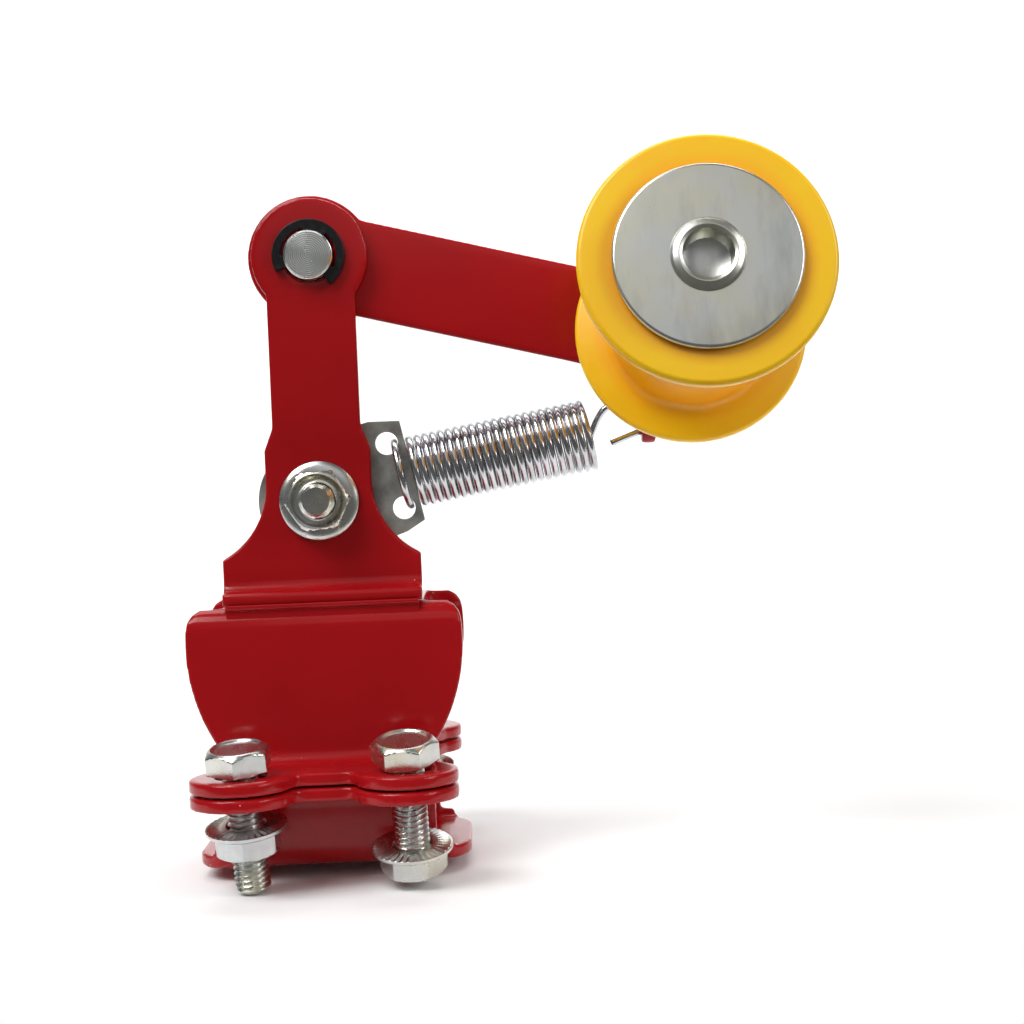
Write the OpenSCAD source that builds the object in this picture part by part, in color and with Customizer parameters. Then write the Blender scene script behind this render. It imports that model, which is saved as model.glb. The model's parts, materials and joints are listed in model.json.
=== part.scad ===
// Sprung chain tensioner for a motorcycle swing arm.
// Two saddles clamp round the arm, an upright carries the pivot, and a spring pulls the roller arm down.
// Frame: X towards the roller, Y away from the viewer, Z up.
// The origin is the middle of the upper saddle's inner top face, which sits on the swing arm.

/* [Saddles] */
// Thickness of the saddle sheet
saddle_t = 3; // [2.5:0.1:3.5]
// Inside width of the clamp channel
channel_w = 36; // [34:0.5:38]
// Depth of the upper saddle inside
upper_depth = 35.7; // [33:0.1:40]
// Depth of the lower saddle inside
lower_depth = 17.4; // [15:0.1:22]
// Gap between the two saddles' flanges
flange_gap = 0.35; // [0.3:0.05:1]
// Outer radius of the bends at the channel's corners
crown_bend_r = 5; // [4.5:0.1:6]
// Inner radius of the bends at the flanges
flange_bend_r = 3; // [2:0.1:4]
// Widest half width of the upper saddle's walls
wall_half = 31.2; // [30:0.1:33]
// Radius of the walls' side curves
wall_arc_r = 42; // [38:0.5:46]
// Depth of the walls' widest line
wall_widest_drop = 6; // [4:0.5:8]
// Radius of the walls' upper corners
wall_corner_r = 5; // [3:0.5:6]
// Half width of the crown between its notches
crown_half = 22.5; // [21:0.5:24]
// How far each notch stops short of the wall's face
notch_lip = 3.5; // [2.5:0.1:4.5]
// Radius in the notch corners
notch_corner_r = 3; // [2:0.5:4]
// Half width of the walls at the flanges
neck_half = 23.5; // [22.5:0.1:24.5]
// Half width of the lower saddle's web
web_half = 31.2; // [29:0.1:33]
// Corner radius of the lower saddle's web
web_corner_r = 12; // [8:0.5:13]

/* [Ears] */
// Distance between the two bolt rows
row_pitch = 69; // [66:0.5:72]
// Distance between the two bolts of a row
bolt_pitch = 36; // [34:0.5:38]
// Radius of the ears
ear_r = 11.3; // [10.5:0.1:12]
// Radius between an ear and the flange's edge
ear_root_r = 3; // [2:0.5:4]
// Radius of the clamp bolt holes
clamp_hole_r = 5.3; // [5.2:0.05:5.6]

/* [Bolts and nuts] */
// Radius of the bolts
bolt_r = 3.95; // [3.85:0.01:4]
// Length of the clamp bolts
bolt_len = 27.5; // [26:0.5:30]
// Width across flats
hex_af = 13; // [12.5:0.1:13.5]
// Height of the bolt heads
head_h = 5.3; // [4.5:0.1:6]
// Depth of the dish in the heads
dish_depth = 0.6; // [0.3:0.1:1]
// Radius of the nuts' flange
nut_flange_r = 8.95; // [8:0.05:9.2]
// Height of the nuts
nut_h = 6.5; // [6:0.1:8]
// Thickness of the nuts' flange at its rim
nut_rim_t = 1.2; // [0.8:0.1:1.6]
// Clearance between a bolt and its nut
thread_gap = 0.05; // [0.03:0.01:0.1]
// Clearance under the low edge of a leaning bolt's head
head_gap = 0.05; // [0.03:0.01:0.2]
// Outer radius of the dish in the heads
dish_r = 5.5; // [4.6:0.1:5.7]
// Chamfer of threads' ends and nuts' bores
thread_chamfer = 0.8; // [0.5:0.1:1]
// Height of the chamfer on hexagons' corners
hex_chamfer = 0.6; // [0.4:0.1:0.9]
// Lean of the front left bolt, top towards the viewer
lean_front_left = 10; // [8:0.5:11]
// Lean of the front right bolt
lean_front_right = 13.5; // [11:0.5:14]
// Lean of the rear bolts
lean_rear = 9; // [7:0.5:11]
// Drop of the front left nut below the ears
drop_front_left = 4.5; // [3:0.1:6]
// Drop of the front right nut below the ears
drop_front_right = 11; // [8:0.1:11.5]
// Drop of the rear nuts below the ears
drop_rear = 3.7; // [3:0.1:6]

/* [Upright] */
// Thickness of the upright
upright_t = 3; // [2.5:0.1:3.5]
// Gap from the upright's front face to the front saddle wall's face
upright_set_back = 4.5; // [4:0.1:5.5]
// Height of the pivot over the crown
pivot_h = 78.6; // [74:0.1:84]
// Radius of the pivot eye
upright_eye_r = 13.2; // [12.5:0.1:14]
// Half width of the neck
neck_w_half = 10; // [9:0.1:11]
// Half width round the plate bolt
waist_half = 12; // [11.5:0.1:12.5]
// Height where the neck starts to widen
neck_low_h = 40.1; // [38:0.1:42]
// Height where it has widened
waist_top_h = 35.1; // [33:0.1:37]
// Height where the foot's flare starts
flare_top_h = 27.6; // [26:0.1:29]
// Radius of the flare
flare_r = 19; // [17:0.5:21]
// Half width of the foot
foot_half = 22.5; // [21:0.1:24]
// Inner radius of the foot's bend
foot_bend_r = 2.5; // [2:0.1:3]
// Length of the foot past its bend
foot_toe = 1.4; // [1:0.1:2]
// Radius of the weld bead in front of the toe
weld_front_r = 0.9; // [0.7:0.1:1.4]
// Width of the weld behind the upright
weld_back = 3; // [2.4:0.1:3.6]
// Width of the weld left bare at each end of the foot
weld_margin = 0.8; // [0.5:0.1:2]

/* [Pivot] */
// Radius of the pivot pin
pin_r = 5.5; // [5:0.1:6]
// Running clearance round the pin
pin_gap = 0.06; // [0.04:0.01:0.1]
// How far the pin stands out in front
pin_proud = 3; // [2.8:0.1:4]
// Radius of the pin's head
pin_head_r = 7.5; // [7:0.1:8.5]
// Thickness of the pin's head
pin_head_t = 2.5; // [2:0.1:3]
// Chamfer on the pin's end
pin_chamfer = 0.6; // [0.3:0.1:1]
// Outer radius of the retaining clip
clip_r = 8.25; // [8:0.05:8.6]
// Inner radius of the clip between its teeth
clip_relief_r = 6.3; // [6.1:0.05:6.5]
// Radius of the pin's groove
groove_r = 4.3; // [4:0.05:4.5]
// Thickness of the clip
clip_t = 1.2; // [1:0.05:1.4]
// Half angle of the clip's mouth
clip_mouth = 50; // [45:1:55]
// Direction of the clip's mouth
clip_turn = -105; // [-115:1:-90]
// Clearance of the clip in its groove
clip_gap = 0.05; // [0.03:0.01:0.1]
// Side clearance of moving sheets and clips
side_gap = 0.3; // [0.25:0.05:0.5]

/* [Arm] */
// Thickness of the arm
arm_t = 3; // [2.5:0.1:3.5]
// Distance from the pivot to the roller's axle
arm_len = 88.4; // [86:0.1:92]
// Angle of the arm below the horizontal
arm_drop = 14.2; // [12:0.1:16]
// Radius of the arm's eye
arm_eye_r = 14.2; // [13.5:0.1:15]
// Width of the arm
arm_w = 21.6; // [20:0.1:23]
// Length of the flat part before the twist
arm_flat_len = 62; // [58:0.5:64]
// Radius of the arm's end
arm_end_r = 13; // [12:0.1:14]
// Upward tilt of the axle towards the viewer
axle_tilt = 11.6; // [9:0.1:13]
// Sideways turn of the axle
axle_turn = 2.5; // [0:0.1:4]

/* [Spring lug] */
// Distance of the lug from the pivot
lug_x = 75.65; // [74:0.05:77]
// Thickness of the lug
lug_t = 3.3; // [3:0.1:3.6]
// Width of the lug
lug_w = 7; // [6.6:0.1:7.4]
// Depth of the lug's lowest point below the pivot
lug_drop = 45.4; // [45:0.1:46]
// Radius of the lug's hole
lug_hole_r = 1.6; // [1.5:0.05:1.8]

/* [Roller] */
// Radius of the roller's flanges
roller_r = 26; // [25:0.1:27]
// Width of the roller
roller_w = 53; // [50:0.5:55]
// Radius of the roller's core
core_r = 18.3; // [17.8:0.1:19.5]
// Thickness of a flange at its rim
rim_t = 3; // [2.5:0.1:3.5]
// Rounding of the rim
rim_round = 1.2; // [0.6:0.1:1.4]
// Thickness of a flange at its root
flange_root_t = 4.6; // [4.2:0.1:6]
// Fillet between flange and core
core_fillet = 3; // [2:0.5:4]

/* [Bearings] */
// Outer radius of the bearings
bearing_r = 16; // [15.5:0.1:16.2]
// Width of the bearings
bearing_w = 10; // [9:0.5:11]
// Radius of the lip behind the bearings
lip_r = 13; // [12.5:0.1:13.4]
// Radius of the balls' circle
ball_circle_r = 11; // [10.9:0.05:11.1]
// Radius of the balls
ball_r = 2.97; // [2.8:0.01:3]
// Clearance between a ball and its track
ball_gap = 0.05; // [0.03:0.01:0.08]
// Number of balls in a bearing
ball_count = 7; // [6:1:7]
// Gap between a bearing ring and its seat
seat_gap = 0.02; // [0.01:0.01:0.04]

/* [Axle and covers] */
// Radius of the axle
axle_r = 6; // [5.8:0.05:6.2]
// Radius of the covers
cover_r = 19.1; // [18.5:0.1:19.6]
// Thickness of the covers
cover_t = 1.5; // [1.2:0.1:1.8]
// Rounding of the covers' edge
cover_round = 0.7; // [0.4:0.1:0.9]
// Height of the covers' inner boss
boss_t = 0.5; // [0.4:0.1:0.8]
// Radius of the covers' inner boss
boss_r = 8.6; // [8:0.1:9]
// Gap between the spool's ends and the covers' plane
cover_gap = 0.4; // [0.3:0.05:0.5]
// Thickness of the spacer between arm and rear cover
spacer_t = 3.2; // [2.8:0.1:4]
// Radius of that spacer
spacer_r = 9; // [8.5:0.1:10]
// Radius of the axle's flared end
flare_end_r = 7.6; // [7.2:0.1:8]
// Height of the flared end
flare_end_h = 1.3; // [1:0.1:1.6]
// Radius of the hollow in the axle's end
hollow_r = 5; // [4.5:0.1:5.2]
// Depth of that hollow
hollow_depth = 6; // [4:0.5:8]
// Thickness of the rear washer
axle_washer_t = 1.5; // [1.2:0.1:2]
// Radius of the rear washer
axle_washer_r = 11.5; // [11:0.1:12]
// Width across flats of the axle nut
axle_nut_af = 19; // [18:0.5:19]
// Height of the axle nut
axle_nut_h = 6; // [5:0.5:8]
// How far the axle stands out behind its nut
axle_tail = 1.5; // [1:0.1:3]
// Clearance between the axle and what sits on it
axle_gap = 0.03; // [0.02:0.01:0.06]

/* [Spring plate] */
// Thickness of the spring plate
plate_t = 1.5; // [1.2:0.1:1.8]
// Height of the plate's bolt below the pivot
plate_bolt_drop = 55.4; // [54.5:0.1:56]
// Radius of the plate's round end
plate_end_r = 14.1; // [13:0.1:15]
// Reach of the plate's tip past its bolt
plate_tip_reach = 23.7; // [22.5:0.1:23.9]
// Depth of the tip below the bolt
plate_tip_drop = 5.4; // [4:0.1:6]
// Reach of the plate's lower corner
plate_low_reach = 19.6; // [18.5:0.1:20.5]
// Depth of that corner below the bolt
plate_low_drop = 7.9; // [7:0.1:9]
// Reach of the plate's upper corner
plate_top_reach = 18.7; // [17.8:0.1:18.9]
// Width of the plate's upper edge
plate_top_w = 7.1; // [6:0.1:8]
// Height of the plate's upper edge over the bolt
plate_top_h = 17.5; // [16.5:0.1:18]
// Radius of the plate's spring holes
plate_hole_r = 2.6; // [2.4:0.1:2.8]
// Clearance of the plate bolt in its holes
plate_bolt_gap = 0.25; // [0.15:0.05:0.4]
// Length of the plate bolt
plate_bolt_len = 16; // [15.5:0.5:20]
// Radius of the plate bolt's washer
washer_r = 8; // [7.5:0.1:9]
// Thickness of that washer
washer_t = 1.6; // [1.2:0.1:2]

/* [Spring] */
// Mean radius of the coil
coil_r = 7.6; // [7.4:0.05:7.7]
// Radius of the wire
wire_r = 0.75; // [0.65:0.01:0.78]
// Distance from turn to turn
coil_pitch = 1.8; // [1.7:0.01:1.83]
// Number of whole turns beside the plate
coil_turns = 22; // [20:1:22]
// Slope of the spring
spring_slope = 9.5; // [9:0.1:10]
// Distance of the coil's first turn from the pivot, sideways
coil_start_x = 22.8; // [22.7:0.1:23.2]
// Distance of the coil's first turn below the pivot
coil_start_drop = 49.5; // [49.3:0.1:49.7]
// Distance from the turn in the plate to the first free turn
end_turn_step = 3.5; // [3.4:0.1:3.7]
// How far the plate's holes lie behind the wire in them
hole_slack = 1.6; // [1.4:0.1:1.7]
// Length of the straight wire between the coil and the lug
hook_lead = 9.4; // [9:0.1:10]
// Height of that wire over the hole in the lug
hook_rise = 4.8; // [4.5:0.1:5.2]
// Length of the hook's free end past the lug
hook_tail = 9.5; // [8:0.1:10]

/* [Hidden] */

$fn = 96;
// Small overlap that lets cuts pass right through
eps = 0.5;
red = [0.62, 0.05, 0.06];
zinc = [0.78, 0.78, 0.74];

// Saddle heights and widths
inner_half = channel_w / 2;
outer_half = inner_half + saddle_t;
bend_end = outer_half + flange_bend_r;
row_y = row_pitch / 2;
ear_x = bolt_pitch / 2;
flange_end = row_y + ear_r + eps;
upper_flange_z = -upper_depth;
lower_flange_z = upper_flange_z - flange_gap;
crown_z = saddle_t;
widest_z = -wall_widest_drop;
arc_shift = wall_arc_r - wall_half;
bend_z = upper_flange_z + saddle_t + flange_bend_r;
clamp_mid_z = upper_flange_z - flange_gap / 2;

// Upright and pivot places
pivot_z = crown_z + pivot_h;
upright_front = -outer_half + upright_set_back;
upright_back = upright_front + upright_t;
foot_bend_y = upright_front - foot_bend_r;
foot_bend_z = crown_z + upright_t + foot_bend_r;
arm_front = upright_back + side_gap;
arm_back = arm_front + arm_t;
clip_front = upright_front - side_gap - clip_t;

// Axle stack, measured towards the viewer from the arm's front face
rear_cover_at = spacer_t;
rear_bearing_at = rear_cover_at + cover_t + boss_t;
spool_at = rear_cover_at + cover_t + cover_gap;
front_bearing_at = 2 * spool_at + roller_w - rear_bearing_at - bearing_w;
front_cover_at = front_bearing_at + bearing_w + boss_t;
axle_end_at = front_cover_at + cover_t + flare_end_h;
bearing_seat = rear_bearing_at + bearing_w - spool_at;
track_r = ball_r + ball_gap;

// Plate bolt and spring places
plate_bolt_z = pivot_z - plate_bolt_drop;
plate_back = upright_back + plate_t;
coil_y = (upright_back + plate_back) / 2 + 0.25;
coil_z = pivot_z - coil_start_drop;
coil_dir = [cos(spring_slope), 0, sin(spring_slope)];
coil_up = [-sin(spring_slope), 0, cos(spring_slope)];
lug_z = pivot_z - lug_drop;
lug_round = lug_w / 2;
lug_y = (arm_front + arm_back) / 2 - 0.8;
lug_hole_z = lug_z + lug_round + 0.1;
// The arm is flat wherever its washer lies
twist_end = axle_washer_r + 1;
wire_steps = 18;
wire_sides = 6;

// Quarter ring from angle a, between two radii
module quarter_ring(r_in, r_out, a) {
    rotate(a) intersection() {
        difference() {
            circle(r = r_out);
            circle(r = r_in);
        }
        square(r_out);
    }
}

// Section of a saddle: web on top, two walls and two flanges, with the channel's top at zero
module saddle_section(depth) {
    bend_mid = outer_half - crown_bend_r;
    wall_top = saddle_t - crown_bend_r;
    wall_low = -depth + saddle_t + flange_bend_r;
    translate([-bend_mid, 0]) square([2 * bend_mid, saddle_t]);
    for (side = [0, 1]) mirror([side, 0]) {
        translate([bend_mid, wall_top]) quarter_ring(crown_bend_r - saddle_t, crown_bend_r, 0);
        translate([inner_half, wall_low]) square([saddle_t, wall_top - wall_low]);
        translate([bend_end, wall_low]) quarter_ring(flange_bend_r, flange_bend_r + saddle_t, 180);
        translate([bend_end, -depth]) square([flange_end - bend_end, saddle_t]);
    }
}

// Extrudes a section drawn in Y and Z along X
module along_x(half) {
    translate([-half, 0, 0]) rotate([90, 0, 90]) linear_extrude(2 * half) children();
}

// Extrudes an outline drawn in X and Z along Y
module along_y(front, thick) {
    translate([0, front + thick, 0]) rotate([90, 0, 0]) linear_extrude(thick) children();
}

// Fillet between an ear and the flange's straight edge
module ear_root() {
    reach = ear_r + ear_root_r;
    dx = sqrt(reach * reach - ear_root_r * ear_root_r);
    difference() {
        polygon([[ear_x - dx, row_y - eps], [ear_x - dx, row_y],
            [ear_x - dx * ear_r / reach, row_y + ear_root_r * ear_r / reach], [ear_x, row_y - eps]]);
        translate([ear_x - dx, row_y + ear_root_r]) circle(r = ear_root_r);
    }
}

// Outline of the flanges seen from above
module flange_outline() {
    for (side = [0, 1]) mirror([0, side]) {
        translate([-ear_x, 0]) square([bolt_pitch, row_y]);
        translate([-neck_half, 0]) square([2 * neck_half, outer_half]);
        for (end = [0, 1]) mirror([end, 0]) {
            translate([ear_x, row_y]) circle(r = ear_r);
            polygon([[ear_x, outer_half - eps], [neck_half, outer_half - eps], [neck_half, outer_half],
                [ear_x + ear_r, row_y], [ear_x, row_y]]);
            ear_root();
        }
    }
}

// The four bolt holes
module clamp_holes() {
    for (x = [-ear_x, ear_x], y = [-row_y, row_y]) translate([x, y, clamp_mid_z])
        cylinder(r = clamp_hole_r, h = 4 * saddle_t, center = true);
}

// Outline of the upper saddle's walls seen from the front
module wall_outline() {
    // Each upper corner's circle touches the side arc from inside
    corner_x = sqrt(pow(wall_arc_r - wall_corner_r, 2) - pow(crown_z - wall_corner_r - widest_z, 2))
        - arc_shift;
    intersection() {
        translate([arc_shift, widest_z]) circle(r = wall_arc_r);
        translate([-arc_shift, widest_z]) circle(r = wall_arc_r);
        union() {
            translate([-wall_half, bend_z]) square([2 * wall_half, crown_z - wall_corner_r - bend_z]);
            translate([-corner_x, bend_z]) square([2 * corner_x, crown_z - bend_z]);
            for (side = [-1, 1]) translate([side * corner_x, crown_z - wall_corner_r])
                circle(r = wall_corner_r);
        }
    }
    translate([-neck_half, bend_z]) square([2 * neck_half, flange_bend_r + saddle_t]);
}

// Notch at one end of the crown, seen from above
module crown_notch() {
    notch_half = outer_half - notch_lip;
    difference() {
        translate([crown_half, -notch_half]) square([wall_half, 2 * notch_half]);
        for (side = [0, 1]) mirror([0, side]) translate([crown_half, notch_half]) difference() {
            translate([-eps, -notch_corner_r]) square([notch_corner_r + eps, notch_corner_r + eps]);
            translate([notch_corner_r, -notch_corner_r]) circle(r = notch_corner_r);
        }
    }
}

module upper_saddle() {
    color(red) difference() {
        union() {
            intersection() {
                along_x(wall_half) saddle_section(upper_depth);
                along_y(-bend_end, 2 * bend_end) wall_outline();
            }
            intersection() {
                along_x(wall_half) saddle_section(upper_depth);
                translate([0, 0, upper_flange_z]) linear_extrude(saddle_t + flange_bend_r) flange_outline();
            }
        }
        for (end = [0, 1]) mirror([end, 0, 0])
            translate([0, 0, crown_z - crown_bend_r]) linear_extrude(2 * crown_bend_r) crown_notch();
        clamp_holes();
    }
}

// Outline of the lower saddle's web seen from above, with round ends
module web_outline() {
    corner_y = outer_half - web_corner_r;
    corner_x = web_half - web_corner_r;
    translate([-corner_x, -outer_half]) square([2 * corner_x, 2 * outer_half]);
    translate([-web_half, -corner_y]) square([2 * web_half, 2 * corner_y]);
    for (x = [-corner_x, corner_x], y = [-corner_y, corner_y]) translate([x, y])
        circle(r = web_corner_r);
}

module lower_saddle() {
    web_zone = crown_bend_r;
    color(red) difference() {
        translate([0, 0, lower_flange_z - lower_depth]) mirror([0, 0, 1]) union() {
            intersection() {
                along_x(web_half) saddle_section(lower_depth);
                translate([0, 0, saddle_t - web_zone]) linear_extrude(web_zone) web_outline();
            }
            intersection() {
                along_x(web_half) saddle_section(lower_depth);
                translate([0, 0, -lower_depth]) linear_extrude(lower_depth + saddle_t - web_zone)
                    flange_outline();
            }
        }
        clamp_holes();
    }
}

// Hexagonal bar with its corners chamfered at the top
module hex_bar(af, h) {
    corner_r = af / sqrt(3);
    intersection() {
        cylinder(r = corner_r, h = h, $fn = 6);
        rotate_extrude() polygon([[0, 0], [corner_r, 0], [corner_r, h - hex_chamfer],
            [af / 2 - hex_chamfer / 3, h], [0, h]]);
    }
}

// Hexagon bolt with its head's seat at zero and its shank below
module hex_bolt(length) {
    difference() {
        hex_bar(hex_af, head_h);
        translate([0, 0, head_h - dish_depth]) cylinder(r1 = dish_r - 1.8 * dish_depth,
            r2 = dish_r, h = dish_depth + 0.01);
    }
    translate([0, 0, thread_chamfer - length]) cylinder(r = bolt_r, h = length - thread_chamfer);
    translate([0, 0, -length]) cylinder(r1 = bolt_r - thread_chamfer, r2 = bolt_r, h = thread_chamfer);
}

// Flange nut with its bearing face at zero and its body below
module flange_nut() {
    rim_edge = nut_rim_t / 4;
    cone_low = 2.3 * nut_rim_t;
    difference() {
        union() {
            mirror([0, 0, 1]) hex_bar(hex_af, nut_h);
            rotate_extrude() polygon([[0, 0], [nut_flange_r - rim_edge, 0], [nut_flange_r, -rim_edge],
                [nut_flange_r, -nut_rim_t], [hex_af / 2 - rim_edge, -cone_low], [0, -cone_low]]);
        }
        translate([0, 0, -nut_h - eps]) cylinder(r = bolt_r + thread_gap, h = nut_h + 2 * eps);
        translate([0, 0, -nut_h - 0.01]) cylinder(r1 = bolt_r + thread_chamfer,
            r2 = bolt_r, h = thread_chamfer);
    }
}

// The four clamp stations: place across, row, lean, side lean, drop of the nut, turn of the hexagons
stations = [
    [-ear_x, -row_y, lean_front_left, -3, drop_front_left, 28],
    [ear_x, -row_y, lean_front_right, -1.5, drop_front_right, -4],
    [-ear_x, row_y, lean_rear, 1.5, drop_rear, 12],
    [ear_x, row_y, lean_rear, -1, drop_rear, 21]];
clamp_half = saddle_t + flange_gap / 2;
// Height of a leaning head's seat over the flanges' middle, with its low corner just clear of the ear
function head_seat(s) = let (tilt = acos(cos(s[2]) * cos(s[3])))
    (clamp_half + head_gap + hex_af / sqrt(3) * sin(tilt)) / cos(tilt);

// Places its children on a station's leaning axis, with zero at the middle of the flanges
module at_station(s) {
    translate([s[0], s[1], clamp_mid_z]) rotate([s[2], s[3], 0]) rotate(s[5]) children();
}

module clamp_bolts() {
    color(zinc) for (s = stations) at_station(s) translate([0, 0, head_seat(s)])
        hex_bolt(bolt_len);
}

module clamp_nuts() {
    color(zinc) for (s = stations) at_station(s) translate([0, 0, -clamp_half - s[4]]) flange_nut();
}

// Front outline of the upright
module upright_outline() {
    flare_low = foot_bend_z;
    translate([0, pivot_z]) circle(r = upright_eye_r);
    translate([-neck_w_half, crown_z + neck_low_h]) square([2 * neck_w_half, pivot_h - neck_low_h]);
    polygon([[-neck_w_half, crown_z + neck_low_h], [-waist_half, crown_z + waist_top_h],
        [waist_half, crown_z + waist_top_h], [neck_w_half, crown_z + neck_low_h]]);
    translate([-waist_half, crown_z + flare_top_h])
        square([2 * waist_half, waist_top_h - flare_top_h]);
    difference() {
        translate([-foot_half, flare_low]) square([2 * foot_half, crown_z + flare_top_h - flare_low]);
        for (side = [-1, 1]) translate([side * (waist_half + flare_r), crown_z + flare_top_h])
            circle(r = flare_r);
    }
}

// Section of the foot, drawn in Y and Z
module foot_section() {
    translate([foot_bend_y, foot_bend_z]) quarter_ring(foot_bend_r, foot_bend_r + upright_t, 270);
    translate([foot_bend_y - foot_toe, crown_z]) square([foot_toe, upright_t]);
}

module upright_plate() {
    color(red) difference() {
        union() {
            along_y(upright_front, upright_t) upright_outline();
            along_x(foot_half) foot_section();
        }
        along_y(upright_front - eps, upright_t + 2 * eps) {
            translate([0, pivot_z]) circle(r = pin_r + pin_gap);
            translate([0, plate_bolt_z]) circle(r = bolt_r + plate_bolt_gap);
        }
    }
}

module foot_weld() {
    toe_y = foot_bend_y - foot_toe;
    color(red) along_x(foot_half - weld_margin) difference() {
        union() {
            translate([toe_y, crown_z]) circle(r = weld_front_r);
            polygon([[foot_bend_y, crown_z], [upright_back + weld_back, crown_z],
                [upright_back, foot_bend_z], [foot_bend_y, foot_bend_z]]);
            translate([toe_y, crown_z - crown_bend_r]) square([-toe_y - inner_half + crown_bend_r,
                crown_bend_r]);
        }
        translate([foot_bend_y, foot_bend_z]) circle(r = foot_bend_r + upright_t);
        foot_section();
        saddle_section(upper_depth);
        translate([-inner_half, -crown_bend_r]) square([channel_w, crown_bend_r + saddle_t / 2]);
    }
}

// Plate that holds the spring's end
module spring_plate() {
    // Straight edges leave the round end at these angles
    low_side = -73;
    top_side = 102;
    color([0.45, 0.45, 0.4]) difference() {
        along_y(upright_back, plate_t) translate([0, plate_bolt_z]) {
            circle(r = plate_end_r);
            polygon([[0, 0], 0.98 * plate_end_r * [cos(low_side), sin(low_side)],
                [plate_low_reach, -plate_low_drop], [plate_tip_reach, -plate_tip_drop],
                [plate_top_reach, plate_top_h], [plate_top_reach - plate_top_w, plate_top_h],
                0.99 * plate_end_r * [cos(top_side), sin(top_side)]]);
        }
        along_y(upright_back - eps, plate_t + 2 * eps) {
            translate([0, plate_bolt_z]) circle(r = bolt_r + plate_bolt_gap);
            for (a = [-180, 0]) let (hole = coil_point(a) - hole_slack * coil_dir)
                translate([hole[0], hole[2]]) circle(r = plate_hole_r);
        }
    }
}

// Places its children on the plate bolt's axis with +Z away from the viewer
module at_plate_bolt(y) {
    translate([0, y, plate_bolt_z]) rotate([-90, 0, 0]) children();
}

module plate_bolt() {
    color(zinc) at_plate_bolt(plate_back + washer_t) rotate(12) hex_bolt(plate_bolt_len);
}

module plate_washer() {
    color(zinc) at_plate_bolt(plate_back) difference() {
        cylinder(r = washer_r, h = washer_t);
        translate([0, 0, -eps]) cylinder(r = bolt_r + plate_bolt_gap, h = washer_t + 2 * eps);
    }
}

module plate_nut() {
    color(zinc) at_plate_bolt(upright_front) rotate(20) flange_nut();
}

// Point of the coil at an angle counted from its lowest point towards the back; the turn before zero
// lies in the plate's holes, and half a wide turn joins it to the close coil
function coil_step(a) = a < 0 ? coil_pitch * a / 360 - end_turn_step
    : a < 180 ? -end_turn_step + (end_turn_step - coil_pitch / 2) * a / 180
    : coil_pitch * (a - 360) / 360;
function coil_point(a) = [coil_start_x, coil_y, coil_z] + coil_step(a) * coil_dir
    - coil_r * cos(a) * coil_up + [0, coil_r * sin(a), 0];

// Hook points: from the last turn behind the lug, round it and back through its hole
coil_end = 360 * (coil_turns + 1) + 80;
coil_end_point = coil_point(coil_end);
lug_back = lug_y + lug_round;
hook_points = [
    coil_point(coil_end - 20),
    coil_end_point,
    [lug_x - hook_lead, lug_back + 3 * wire_r, lug_hole_z + hook_rise],
    [lug_x - lug_t, lug_back + 2 * wire_r, lug_hole_z + hook_rise + 0.8 * wire_r],
    [lug_x + 3.2 * wire_r, lug_back + 1.7 * wire_r, lug_hole_z + hook_rise - wire_r],
    [lug_x + 5.6 * wire_r, lug_back - 0.8 * wire_r, lug_hole_z + 2.7 * wire_r],
    [lug_x + 4 * wire_r, lug_y + 0.7 * wire_r, lug_hole_z],
    [lug_x, lug_y, lug_hole_z - 0.3 * wire_r],
    [lug_x - 4.3 * wire_r, lug_y - 0.4 * wire_r, lug_hole_z - 1.6 * wire_r],
    [lug_x - 0.9 * hook_tail, lug_y - 1.3 * wire_r, lug_hole_z - 4.2 * wire_r],
    [lug_x - hook_tail, lug_y - 1.5 * wire_r, lug_hole_z - 4.7 * wire_r]];
hook_steps = 5;
function bend_point(p, i, t) = 0.5 * (2 * p[i] + (p[i + 1] - p[i - 1]) * t
    + (2 * p[i - 1] - 5 * p[i] + 4 * p[i + 1] - p[i + 2]) * t * t
    + (3 * p[i] - p[i - 1] - 3 * p[i + 1] + p[i + 2]) * t * t * t);
wire_path = concat(
    [for (a = [-200 : 360 / wire_steps : coil_end - 5]) coil_point(a)],
    [for (i = [1 : len(hook_points) - 3], k = [0 : hook_steps - 1])
        bend_point(hook_points, i, k / hook_steps)],
    [hook_points[len(hook_points) - 2]]);

function unit(v) = v / norm(v);
function path_dir(p, i) = unit(p[min(i + 1, len(p) - 1)] - p[max(i - 1, 0)]);
function across(v, t) = unit(v - (v * t) * t);

// Tube of wire along a path, with rings that don't twist
module wire(path, r) {
    last = len(path) - 1;
    dirs = [for (i = [0 : last]) path_dir(path, i)];
    sides = [for (i = 0, n = across(coil_dir, dirs[0]); i <= last;
        i = i + 1, n = i <= last ? across(n, dirs[i]) : n) n];
    rings = [for (i = [0 : last], k = [0 : wire_sides - 1])
        let (a = 360 * k / wire_sides) path[i] + r * (cos(a) * sides[i] + sin(a) * cross(dirs[i], sides[i]))];
    walls = [for (i = [0 : last - 1], k = [0 : wire_sides - 1])
        let (a = i * wire_sides + k, b = i * wire_sides + (k + 1) % wire_sides)
        each [[a, a + wire_sides, b + wire_sides], [a, b + wire_sides, b]]];
    ends = [[for (k = [0 : wire_sides - 1]) k],
        [for (k = [wire_sides - 1 : -1 : 0]) last * wire_sides + k]];
    polyhedron(rings, concat(walls, ends));
}

module spring() {
    color([0.75, 0.76, 0.78]) wire(wire_path, wire_r);
}

// Middle of the arm's front face at the axle
axle_x = arm_len * cos(arm_drop);
axle_z = pivot_z - arm_len * sin(arm_drop);

// Places its children on the axle: zero at the arm's front face, +Z towards the viewer
module at_axle() {
    translate([axle_x, arm_front, axle_z]) rotate([90 - axle_tilt, 0, -axle_turn]) children();
}

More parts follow.
